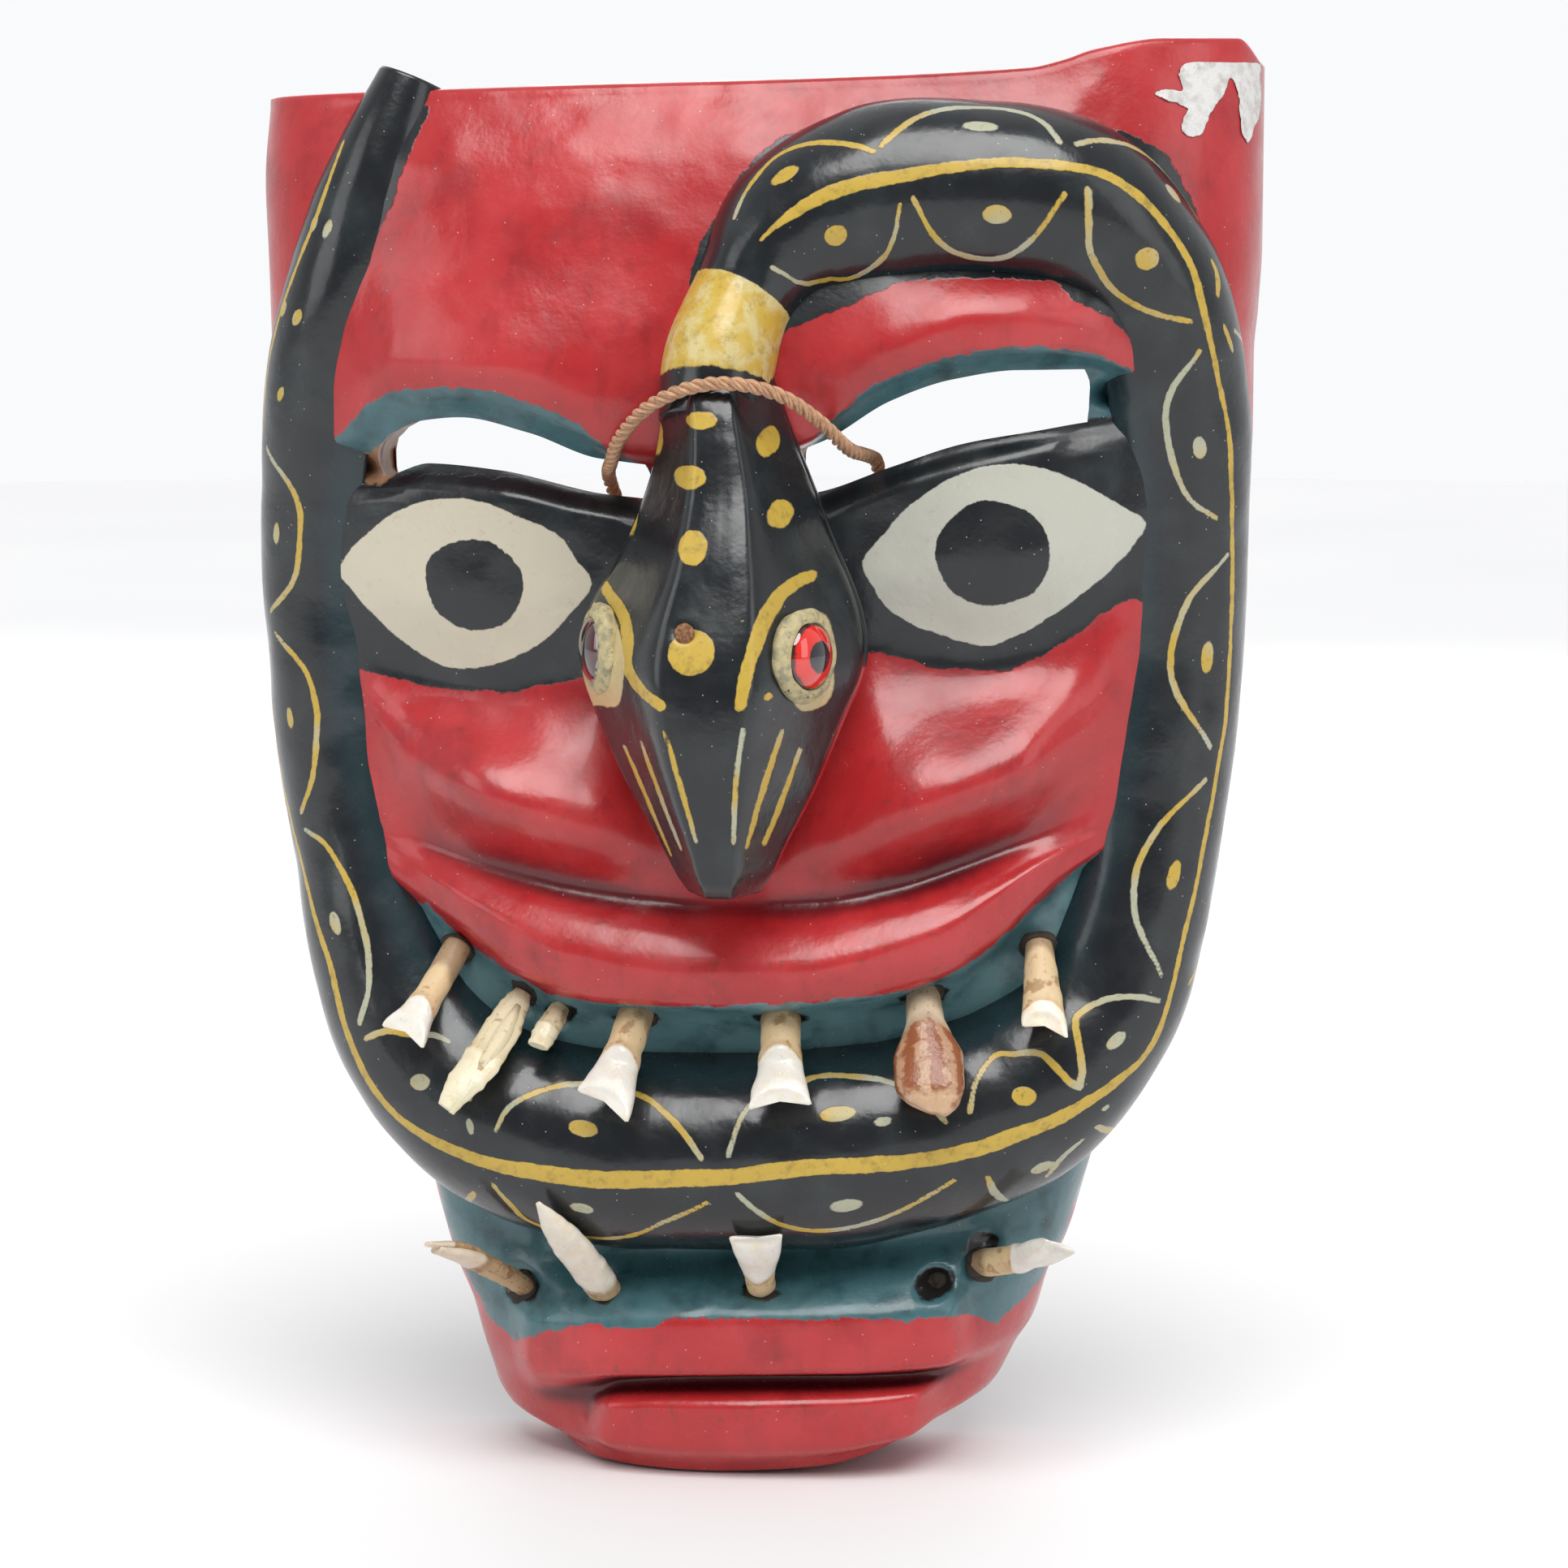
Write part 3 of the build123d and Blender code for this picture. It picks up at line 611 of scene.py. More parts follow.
def bodyPoints(shape):
    # an oval section, centre + out·thickness·cos + sideways·width·sin, carried along the middle line
    knots = np.array(shape["knots"], float)
    run = np.concatenate([[0], np.cumsum(np.linalg.norm(np.diff(knots[:, :3], axis=0), axis=1))])
    fine = throughRows(run, knots, np.linspace(0, run[-1], 4000), limited=False)
    length = np.concatenate([[0], np.cumsum(np.linalg.norm(np.diff(fine[:, :3], axis=0), axis=1))])
    at = np.linspace(0, length[-1], shape["rows"])
    k = np.stack([np.interp(at, length, c) for c in fine.T], 1)
    centre = np.stack([k[:, 0], -k[:, 2], k[:, 1]], 1)
    along = np.gradient(centre, axis=0)
    along /= np.linalg.norm(along, axis=1, keepdims=True)
    turn, lift = np.radians(k[:, 5]), np.radians(k[:, 6])
    out = np.stack([np.sin(turn) * np.cos(lift), -np.cos(turn) * np.cos(lift), np.sin(lift)], 1)
    out -= (out * along).sum(1, keepdims=True) * along
    out /= np.linalg.norm(out, axis=1, keepdims=True)
    side = np.cross(along, out)
    angle = np.radians(np.linspace(-shape["reach"], shape["reach"], shape["outer"]))
    bumps = 1 + 0.020 * unevenness(at[:, None], angle[None, :] * 22, 24, 7) + 0.008 * unevenness(at[:, None], angle[None, :] * 22, 9, 8)
    outer = (centre[:, None] + out[:, None] * (k[:, 4][:, None] * np.cos(angle) * bumps)[..., None]
             + side[:, None] * (k[:, 3][:, None] * np.sin(angle) * bumps)[..., None])
    f = np.linspace(0, 1, shape["inner"] + 2)[1:-1]
    inner = outer[:, -1:] * (1 - f)[:, None] + outer[:, :1] * f[:, None] - out[:, None] * (1.5 * np.sin(np.pi * f))[:, None]
    points = np.concatenate([outer, inner], 1)
    across = np.concatenate([angle, np.full(len(f), 9.0)])
    mean = (k[:, 3] + k[:, 4]) / 2
    return points, at, across[None, :] * mean[:, None]


body, bodyAt, bodyAround = bodyPoints(bodyShape)
bodyAlong = np.broadcast_to(bodyAt[:, None], bodyAround.shape)
print("snake body:", body.shape, "length", round(float(bodyAt[-1])), "mm")


# ---- the snake's head ----

# Rows from the neck to the snout: height, middle, half width, reach, depth of the widest line, depth of the back
headShape = {
    "rows": [
        (316, -3, 14.5, 93.5, 80, 62), (311, -2.5, 16, 97.5, 80, 62), (300, -1, 18.5, 102, 80, 60), (290, 0, 21.5, 105.5, 80, 58), (266, 0, 31, 115, 79, 56),
        (250, -1.5, 38.5, 121, 79, 56), (242, -2, 40.5, 123.5, 80, 56), (232, -2, 39, 125.5, 83, 57),
        (224, -2, 35.5, 126, 86, 58), (203, -0.5, 25.5, 124, 95, 60), (188, 0.5, 16.8, 120.5, 100, 62),
        (180, 1, 12.5, 118, 102, 64), (176.5, 1, 10.0, 114, 101, 66),
    ],
    # the section from the middle of the back round to the underside: share of the half width, and depth,
    # where 0 is the front, 1 the widest line and 2 the back
    "section": [(0, 0), (0.22, 0.012), (0.36, 0.07), (0.60, 0.41), (0.84, 0.77), (0.955, 0.95), (0.965, 1.03),
                (0.935, 1.06), (0.975, 1.10), (0.985, 1.2), (0.93, 1.6), (0.84, 2.0)],
    "heightSteps": 150,
    "roundSteps": 120,
}


def headPoints(shape):
    # the section is the same at every height; its width, reach and depths change smoothly from neck to snout
    rows = np.array(shape["rows"], float)
    z = np.linspace(rows[0, 0], rows[-1, 0], shape["heightSteps"])
    _, middle, width, reach, edge, back = np.column_stack([z, throughRows(-rows[:, 0], rows[:, 1:], -z, limited=False)]).T
    half = rounded(shape["section"], 10)
    half = evenSteps(half * (1, 0.8), shape["roundSteps"] // 2) / (1, 0.8)
    share = np.concatenate([-half[::-1, 0], half[1:, 0]])
    fall = np.concatenate([half[::-1, 1], half[1:, 1]])
    front, under = np.clip(fall, 0, 1), np.clip(fall - 1, 0, 1)
    depth = reach[:, None] - front * (reach - edge)[:, None] - under * (edge - back)[:, None]
    x = middle[:, None] + share * width[:, None]
    points = np.stack([x, -depth, np.broadcast_to(z[:, None], x.shape)], -1)
    facet = 0.35 * unevenness(points[..., 0], points[..., 2], 15, 11) * (fall < 1.9)
    points[..., 1] -= facet
    marks = np.broadcast_to(share, x.shape), np.broadcast_to(fall, x.shape)
    return points, marks


head, (headShare, headFall) = headPoints(headShape)
print("snake head:", head.shape)


# ---- building ----

def turnedOut(points, faces, facing=None):
    # faces turned so that they look outwards: by the enclosed volume, or towards a given direction or point list
    p = np.asarray(points, float).reshape(-1, 3)[np.asarray(faces)]
    normal = np.cross(p[:, 2] - p[:, 0], p[:, 3] - p[:, 1])
    middle = p.mean(axis=1)
    if facing is None:
        total = (normal * middle).sum()
    else:
        total = (normal * np.asarray(facing)).sum()
    return np.asarray(faces)[:, ::-1] if total < 0 else np.asarray(faces)


def oval(centre, radii, wobble=0.0, count=40, seed=0):
    # an oval outline with a slightly wandering radius
    turn = np.linspace(0, 2 * np.pi, count, endpoint=False)
    phase = np.random.default_rng(seed).uniform(0, 6.28, 3)
    r = 1 + wobble * (0.5 * np.sin(2 * turn + phase[0]) + 0.3 * np.sin(3 * turn + phase[1]) + 0.3 * np.sin(5 * turn + phase[2]))
    return np.stack([centre[0] + radii[0] * r * np.cos(turn), centre[1] + radii[1] * r * np.sin(turn)], 1)


# Painted areas of the face: outlines across and up
faceAreas = {
    "teal": [
        [(-106, 161), (-88, 165), (-82, 158), (-71, 151), (-62, 146), (-53, 141), (-36, 140), (-10, 141), (22, 143),
         (43, 145), (51, 146), (61, 150), (71, 156), (81, 165), (91, 174), (102, 182), (113, 176), (100, 138),
         (60, 100), (0, 92), (-60, 95), (-95, 118), (-114, 150)],
        [(-92, 73), (-88, 59), (-81, 47), (-76, 39), (-66, 36), (-61, 39), (-54, 42), (-43, 45), (-31, 44.5),
         (-16, 48), (16, 48.5), (43, 49), (48, 47), (50, 49), (63, 48), (72, 42.5), (75, 45), (80, 48), (84, 52),
         (90, 64), (97, 85), (95, 105), (0, 90), (-95, 100)],
        [(-123, 289), (-111, 297), (-103, 306), (-91, 310), (-79, 311), (-66, 310), (-54, 306), (-42, 302),
         (-34, 294), (-20, 286), (-36, 282), (-60, 286), (-100, 285)],
        [(10, 288), (20, 294), (26, 302), (40, 313), (54, 319), (69, 322), (83, 323), (98, 321), (108, 316),
         (114, 311), (112, 303), (90, 300), (60, 295), (30, 284), (12, 280)],
    ],
    "black": [
        [(-124, 288), (-115, 283.5), (-101, 284), (-87, 288.5), (-67, 287.5), (-36, 281), (-18, 277), (-18, 236),
         (-46, 229), (-56, 227), (-65, 225), (-75, 225), (-86, 225), (-95, 227), (-106, 229), (-116, 232), (-118, 224),
         (-118, 215), (-115, 207), (-114, 198), (-112, 191), (-110, 182), (-110, 170), (-109, 161), (-110, 148),
         (-113, 165), (-117, 190), (-122, 222), (-123, 288)],
        [(5, 276), (22, 281.5), (43, 289.5), (63, 296), (83, 299.5), (95, 301.5), (112, 304), (114, 318), (126, 318),
         (125, 228), (119, 200), (116, 180), (113, 168), (103, 180), (107, 186), (108, 194), (110, 214), (112, 230), (114, 246), (114, 251),
         (109, 252), (103, 250), (93, 242), (83, 236), (74, 232), (63, 233), (54, 233), (47, 236), (36, 238), (10, 242)],
        [(-87, 387), (-90, 379), (-94, 369), (-96, 361), (-101, 351), (-105, 341), (-109, 331), (-113, 323),
         (-116, 313), (-120, 306), (-122, 298), (-123, 288), (-131, 292), (-128, 345), (-119, 362), (-106, 387)],
        [(-12, 341), (-9, 350), (-4, 359), (0, 367), (5, 373), (11, 378), (22, 383), (38, 386), (53, 387), (71, 387),
         (87, 385), (100, 382), (109, 379), (116, 375), (121, 368), (125, 359), (129, 348), (132, 334), (131, 318),
         (112, 316), (108, 324), (103, 330), (93, 335), (88, 340), (78, 341), (59, 341), (46, 340), (30, 333),
         (15, 327), (10, 320), (-8, 320)],
    ],
    "white": [
        [(-114, 258), (-107, 267), (-96, 275), (-86, 278.5), (-73, 279), (-61, 275), (-50, 270), (-45, 263.5),
         (-40, 256), (-46, 248), (-54, 240), (-66, 233.5), (-75, 231.5), (-84, 232), (-95, 238), (-104, 246), (-110, 252)],
        [(35, 263), (42, 272), (48, 278.5), (59, 286), (72, 290), (86, 288.5), (98, 283), (106, 278), (112.5, 273),
         (106, 263.5), (96, 254.5), (84, 246), (72, 240), (63, 240.5), (50, 245), (42, 250), (38, 256)],
    ],
    "pupil": [oval((-73.5, 255.5), (14.2, 12.9), 0.04, seed=1), oval((71, 265.5), (15.4, 15.0), 0.04, seed=2)],
    "bare": [[(-121, 288.5), (-116, 284), (-101, 282), (-97, 285), (-98, 295), (-104, 291.5), (-115, 290)]],
    "hole": [oval((55, 57), (5.2, 4.2), 0.15, seed=3), oval((-64, 51.5), (5.5, 4.0), 0.25, seed=4),
             oval((-39, 54), (4.6, 3.4), 0.2, seed=5), oval((6, 55), (5.6, 2.2), 0.2, seed=6),
             oval((68, 65), (5.0, 4.4), 0.25, seed=7), oval((-79, 151.5), (4.4, 3.4), 0.25, seed=8),
             oval((-61, 138.0), (4.2, 3.0), 0.2, seed=9), oval((-50, 134.5), (5.0, 3.8), 0.3, seed=10),
             oval((-27.5, 135), (6.4, 2.2), 0.25, seed=11), oval((13, 135.5), (7.2, 2.6), 0.25, seed=12),
             oval((53, 142), (7.0, 3.0), 0.25, seed=13), oval((84, 154.5), (4.2, 3.2), 0.25, seed=14)],
}


def facePiece():
    # the carved front with the slits left open, and the slits' walls going back through the wood
    rows, columns = face.shape[:2]
    x, z = face[..., 0], face[..., 2]
    faces = gridFaces(rows, columns).reshape(rows - 1, columns - 1, 4)
    keep = np.ones((rows - 1, columns - 1), bool)
    marks = {}
    for key, outlines in faceAreas.items():
        smooth = [rounded(o, 4, closed=True) if key in ("white",) else np.asarray(o, float) for o in outlines]
        marks[key] = np.min([areaDistance(o, x, z) for o in smooth], axis=0)
    depth = -face[..., 1]
    # painted shade: the fold mark below is how far each point lies under its blurred surroundings, and it darkens the
    # paint in hollows and creases; the edge mark from the same value is real wear on the ridges
    hollowed = blurred(depth, 14) - depth
    inner = np.clip((np.minimum(np.arange(rows), np.arange(rows)[::-1]) - 12) / 6, 0, 1)[:, None]
    inner = inner * np.clip((np.minimum(np.arange(columns), np.arange(columns)[::-1]) - 12) / 6, 0, 1)
    marks["fold"] = np.clip(blurred(hollowed, 3) / 1.6, 0, 1) * inner
    marks["edge"] = np.clip(-hollowed / 0.8, 0, 1) * inner
    marks["across"] = x
    # the lip mark places painted light: the lighter teal on the upper lip's underside
    marks["lip"] = np.clip((z - 112) / 8, 0, 1) * np.clip((205 - z) / 8, 0, 1)
    walls, wallFaces, wallMarks = [], [], {key: [] for key in marks}
    start = rows * columns
    for side in faceShape["slits"]:
        first, last = slitColumns(side)
        low, high = slitRows
        keep[low:high, first:last] = False
        ring = np.concatenate([face[low, first:last], face[low:high, last], face[high, last:first:-1], face[high:low:-1, first]])
        steps = np.linspace(0, 1, 9)[:, None, None]
        back = ring.copy()
        back[:, 1] = -hollowDepth(ring[:, 0], ring[:, 2]) + 1.5
        floorZ, roofZ = np.interp(ring[:, 0], face[low, :, 0], face[low, :, 2]), np.interp(ring[:, 0], face[high, :, 0], face[high, :, 2])
        back[:, 2] -= faceShape["slitFall"] * np.clip((roofZ - ring[:, 2]) / (roofZ - floorZ), 0, 1)
        tube = ring + (back - ring) * steps
        middle = ring.mean(axis=0)
        spread = 1 + 0.03 * np.sin(np.pi * steps[..., 0]) + 0.012 * unevenness(tube[..., 0] + tube[..., 2], tube[..., 1], 4, 21)
        tube[1:, :, 0] = middle[0] + (tube[1:, :, 0] - middle[0]) * spread[1:]
        tube[1:, :, 2] = middle[2] + (tube[1:, :, 2] - middle[2]) * spread[1:]
        tubeFaces = gridFaces(9, len(ring), aroundColumns=True)
        towards = middle - tube.reshape(-1, 3)[tubeFaces].mean(axis=1)
        towards[:, 1] = 0
        wallFaces.append(turnedOut(tube, tubeFaces, towards) + start)
        walls.append(tube.reshape(-1, 3))
        start += tube.shape[0] * tube.shape[1]
        deep = np.broadcast_to(steps[..., 0] * 10, tube.shape[:2]).ravel()
        for key in marks:
            # painted shade: a fold value of 0.4 darkens the paint on the slit walls, inside the slits
            wallMarks[key].append({"bare": 3.5 - deep, "teal": deep * 0 + (-2 if side == "right" else 3),
                                   "across": tube[..., 0].ravel(), "fold": deep * 0 + 0.4, "edge": deep * 0, "lip": deep * 0}.get(key, deep * 0 + 20))
    front = turnedOut(face, faces[keep], (0, -1, 0))
    points = np.concatenate([face.reshape(-1, 3)] + walls)
    marks = {key: np.concatenate([value.ravel()] + wallMarks[key]) for key, value in marks.items()}
    return makePiece("carved_face", points, np.concatenate([front] + wallFaces), ["mask_shell"],
                     facePaint(), marks)


# ---- the hollow at the back ----

hollowShape = {
    # height, half width, depth of the bowl for the wearer's face
    "rows": [(30, 52, 32), (48, 62, 34), (75, 74, 34), (100, 82, 34), (150, 96, 45), (200, 106, 47), (250, 111, 43),
             (300, 113, 47), (340, 115, 46), (365, 114, 38), (379, 112, 32)],
    "power": 2.6,
    "columns": 130,
    "heightStep": 2.3,
}


def hollowDepth(x, z):
    # depth of the bowl's wood ahead of the rim at a place behind the face
    width, deep = through(hollowShape["rows"], np.ravel(z)).T
    share = np.clip(np.abs(np.ravel(x)) / width, 0, 1)
    return (deep * (1 - share ** hollowShape["power"]) ** (1 / hollowShape["power"])).reshape(np.shape(x))


def hollowPiece():
    # the flat rim between the block's edge and the bowl, then the bowl, gouged by hand
    across, forward = unitSection(hollowShape["power"], hollowShape["columns"], 0.4)
    marksAt = [hollowShape["rows"][0][0]] + [None, None] + [hollowShape["rows"][-1][0]]
    low, high = slitRows
    frontX, lowZ, highZ = face[low, :, 0], face[low, :, 2], face[high, :, 2]
    level = lambda z, x: (np.full_like(x, z))
    guess = np.array([through(hollowShape["rows"], [290])[0, 0]])[0] * across
    slitLow, slitHigh = np.interp(guess, frontX, lowZ) - faceShape["slitFall"], np.interp(guess, frontX, highZ)
    parts, rowOf = [], []
    spans = [(level(30, guess), slitLow), (slitLow, slitHigh), (slitHigh, level(379, guess))]
    for a, b in spans:
        n = max(3, int(round(np.abs(b - a).mean() / hollowShape["heightStep"])))
        parts.append(a + (b - a) * np.linspace(0, 1, n, endpoint=False)[:, None])
        rowOf.append(sum(len(p) for p in parts))
    z = np.concatenate(parts + [level(379, guess)[None]])
    width, deep = through(hollowShape["rows"], z.ravel()).T
    width, deep = width.reshape(z.shape), deep.reshape(z.shape)
    x = width * across
    bowl = deep * forward
    gouge = np.minimum(0.9 * unevenness(x, z, 13, 31) + 0.5 * unevenness(x, z, 6, 32), 0.8)
    y = -bowl - gouge * np.minimum(forward * 3, 1)
    shrink = np.array([0.0, 0.25, 0.5, 0.72, 0.88, 0.96])
    lowRows = np.stack([np.stack([x[0], y[0] * m, z[0]], -1) for m in shrink])
    highRows = np.stack([np.stack([x[-1], y[-1] * m, z[-1]], -1) for m in shrink[::-1]])
    bowlPoints = np.concatenate([lowRows, np.stack([x, y, z], -1), highRows])
    rows, columns = bowlPoints.shape[:2]
    faces = gridFaces(rows, columns).reshape(rows - 1, columns - 1, 4)
    keep = np.ones((rows - 1, columns - 1), bool)
    first, last = rowOf[0] + len(lowRows), rowOf[1] + len(lowRows)
    for start, end in faceShape["slits"].values():
        a, b = np.argmin(abs(x[rowOf[0]] - start)), np.argmin(abs(x[rowOf[0]] - end))
        keep[first:last, a:b] = False
    bowlFaces = turnedOut(bowlPoints, faces[keep], (0, 1, 0))

    def frame(points):
        # the closed loop round a grid's edge in the rim's plane, the same number of steps on each side
        sides = (points[0], points[:, -1], points[-1, ::-1], points[::-1, 0])
        return np.concatenate([evenSteps(s, n + 1)[:-1] for s, n in zip(sides, (90, 170, 130, 170))])

    outer, inner = frame(face), frame(bowlPoints)
    outer[:, 1] = inner[:, 1] = 0
    share = np.linspace(0, 1, 9)[:, None, None]
    rim = outer + (inner - outer) * share
    rim[1:-1, :, 1] = -0.35 * np.abs(unevenness(rim[1:-1, :, 0], rim[1:-1, :, 2], 7, 33))
    rimFaces = turnedOut(rim, gridFaces(9, len(outer), aroundColumns=True), (0, 1, 0)) + rows * columns
    points = np.concatenate([bowlPoints.reshape(-1, 3), rim.reshape(-1, 3)])
    redEdge = np.concatenate([np.full(rows * columns, 30.0), (np.broadcast_to(share[..., 0] * 24 - 3, rim.shape[:2])).ravel()])
    return makePiece("hollow_and_rim", points, np.concatenate([bowlFaces, rimFaces]), ["mask_shell"],
                     bareWood(), {"redEdge": redEdge})


# ---- paint on the snake's body: place along the body, place round it, half width ----

bodyPaint = {
    "line": [
        (822, 0, .3), (813, -1, 1.3), (798, -1, 1.9), (780, -2, 1.8), (766, 0, 1.5), (752, 2, 1.4), (740, 3, 1.4),
        (731, 5, 1.4), (724, 5, 1.3), (715, 4, 1.2), (705, 2, 1.2), (695, -2, 1.2), (684, -4, 1), (667, -5, .9),
        (625, -5, .9), (585, -4, .9), (552, -5, .9), (531, -4, .9), (514, -3, 1), (500, 0, 1.1), (490, 3, 1.3),
        (480, 1, 1.6), (468, -1, 2), (457, -2, 2.3), (444, -1, 2.4), (429, -2, 2.3), (413, -4, 2.3), (397, -5, 2.3),
        (380, -3, 2.4), (355, -2, 2.6), (332, 0, 2.5), (320, 2, 2.2), (308, 3, 1.9), (295, 4, 1.6), (285, 2, 1.5),
        (273, -3, 1.4), (259, -7, 1.3), (248, -8, 1.1), (230, -6, 1), (200, -3, .9), (150, 0, .8), (100, 3, .8),
        (73, 5, .8), (56, 4, .8), (39, 3, .8), (23, 5, .6)],
    "scallops": [
        [(820, 12), (812, 16), (805, 19), (799, 17), (793, 13), (784, 6)],
        [(782, 7), (778, 11), (773, 16), (766, 20), (757, 22), (749, 21), (744, 17), (740, 10)],
        [(737, 11), (732, 17), (725, 23), (716, 24), (708, 20)],
        [(701, 10), (698, 9), (695, 5)], [(688, 3), (681, 4)],
        [(827, -7), (823, -20), (805, -27), (792, -25), (783, -18), (779, -9)],
        [(775, -8), (770, -18), (764, -24), (756, -26), (748, -24), (741, -16), (737, -4)],
        [(733, -1), (730, -9), (725, -16), (713, -20), (703, -18), (697, -13), (693, -7)],
        [(501, -4), (500, -12), (496, -19), (489, -22), (484, -20), (473, -6), (472, -20), (466, -24), (460, -26),
         (451, -20), (446, -12)],
        [(380, -9), (383, -19), (388, -25), (404, -31), (416, -30), (427, -26), (436, -17), (439, -11)],
        [(317, -8), (318, -16), (325, -23), (336, -28), (354, -27), (363, -21), (369, -14), (373, -8)],
        [(274, -9), (275, -16), (279, -20), (284, -25), (289, -26)],
        [(303, -18), (306, -14)], [(309, -8), (311, -5)],
        [(316, 16), (314, 26)], [(320, 9), (325, 15), (329, 21), (336, 23), (345, 22.5), (353, 19), (362, 12), (374, 5)],
        [(382, 2), (388, 9), (394, 14), (403, 17), (414, 16), (423, 13), (436, 7)], [(444, 9), (444, 16), (446, 26)],
        [(466, 11), (461, 13), (456, 19)], [(470, 10), (472, 22)]],
    # these are the same on the side turned away
    "sideScallops": [
        [(685, -8), (677, -18), (667, -23), (653, -23), (642, -19), (636, -11)],
        [(625, -7), (614, -19), (597, -24), (584, -21), (570, -9)],
        [(561, -9), (551, -18), (543, -22), (534, -24), (524, -22), (516, -17), (507, -7)],
        [(105, -4), (113, -16), (121, -21), (128, -22), (141, -21), (148, -16), (153, -9)],
        [(159, -11), (168, -22), (179, -25), (188, -24), (201, -20), (210, -12)],
        [(215, -12), (220, -18), (228, -21), (237, -23), (247, -23), (256, -21), (264, -17), (270, -10)]],
    # place along, place round, half length along, half length round
    "dots": [
        (806, 10, 3.6, 2.2), (758, 13, 4.6, 1.7), (717, 16, 2.6, 2), (802, -12, 4.2, 2.8), (753, -12, 4, 2.6),
        (713, -7, 3, 3.4), (461, -12, 3, 3), (457, -3, .9, 1), (462, -3, .8, .9), (474, 6, 1, 1),
        (410, -19, 5, 2.2), (422, -15, 2.4, 1.2), (340, -15, 4.2, 2.2), (292, -11, 2.6, 2.8), (342, 9, 2.8, 1.8),
        (409, 8, 4, 2.2), (456, 13, 2.6, 2.2), (488, -9, 3, 2)],
    "sideDots": [
        (657, -15, 3.2, 2), (596, -13, 4.6, 2), (534, -13, 4.2, 2), (243, -15, 3.2, 1.8), (183, -15, 3, 1.3),
        (130, -13, 3.2, 1.3), (89, -7, 2, 1.3), (68, -4, 2.2, 1.8), (45, -3, 2.4, 1.4)],
    "collar": [(847, -60), (847, 60)],
    "collarHalf": 12.3,
    "hole": (311, 17, 1.6, 1.1),
}


def strokesDistance(strokes, s, t, half):
    # the nearest of several brush strokes, each thin at its ends
    best = np.full(s.shape, 99.0)
    for stroke in strokes:
        line = rounded(stroke, 3)
        low, high = line.min(0) - 9, line.max(0) + 9
        near = (s > low[0]) & (s < high[0]) & (t > low[1]) & (t < high[1])
        width = half * (0.55 + 0.45 * np.sin(np.linspace(0.35, 2.8, len(line))))
        best[near] = np.minimum(best[near], lineDistance(line, s[near], t[near], width))
    return best


def dotsDistance(dots, s, t):
    # the nearest oval dab
    best = np.full(s.shape, 99.0)
    for a, b, ra, rb in dots:
        best = np.minimum(best, (np.hypot((s - a) / ra, (t - b) / rb) - 1) * min(ra, rb))
    return best


def bodyPiece():
    points = capRows(body)
    s = capValues(np.broadcast_to(bodyAt[:, None], bodyAround.shape).copy())
    t = capValues(bodyAround)
    p = bodyPaint
    line = np.array(p["line"])
    both = lambda marks: marks + [[(a, -b) for a, b in stroke] for stroke in marks]
    twice = p["sideDots"] + [(a, -b, ra, rb) for a, b, ra, rb in p["sideDots"]]
    outer = np.arange(points.shape[1]) < bodyShape["outer"]
    marks = {
        "line": lineDistance(rounded(line[:, :2], 3), s, t, rounded(line[:, 2:], 3)[:, 0]),
        "stroke": np.minimum(strokesDistance(p["scallops"] + both(p["sideScallops"]), s, t, 0.95),
                             dotsDistance(p["dots"] + twice, s, t)),
        "collar": lineDistance(p["collar"], s, t, p["collarHalf"]),
        "hole": dotsDistance([p["hole"]], s, t),
        "fold": np.clip(np.abs(t) / 30 - 0.75, 0, 1) * 2.5,
    }
    for key in ("line", "stroke", "hole"):
        marks[key][:, ~outer] = 20
    faces = turnedOut(points, gridFaces(points.shape[0], points.shape[1], aroundColumns=True))
    return makePiece("snake_body", points, faces, ["mask_shell"], snakePaint("snake body paint"), marks)


headPaint = {
    "dots": [(-5, 304, 4.4, 2.4), (-8, 289, 5, 3.2), (-6, 271, 4, 4.6), (-19.5, 298, 2.0, 4.6), (-27, 276, 2.2, 4.8),
             (12, 298, 2.6, 3.8), (16, 279, 3.0, 3.8), (-5, 244, 6.2, 6.0), (8, 252, .7, .5), (15, 232, 1.1, 1.1)],
    "brows": [[(-35, 258), (-31, 255), (-26, 251), (-24, 245), (-24, 239), (-20, 234), (-13, 230)],
              [(24, 262), (21, 261), (17, 258), (14, 253), (12, 247), (10, 240), (8, 230)]],
    "muzzle": [[(-26, 216), (-21, 206), (-13, 187)], [(-20, 219), (-15, 206), (-9, 190)], [(-12, 223), (-8, 209), (-4, 193)],
               [(9, 224), (7, 210), (6, 193)], [(18, 222), (14, 209), (9, 191)], [(22, 216), (18, 204), (13, 191)]],
    "surrounds": [[(18, 246), (19, 251), (24, 253), (29, 249), (30, 232), (27, 227), (22, 227), (19, 235)],
                  [(-41, 251), (-34, 252), (-29, 250), (-25, 240), (-27, 228), (-33, 226), (-41, 227)]],
}


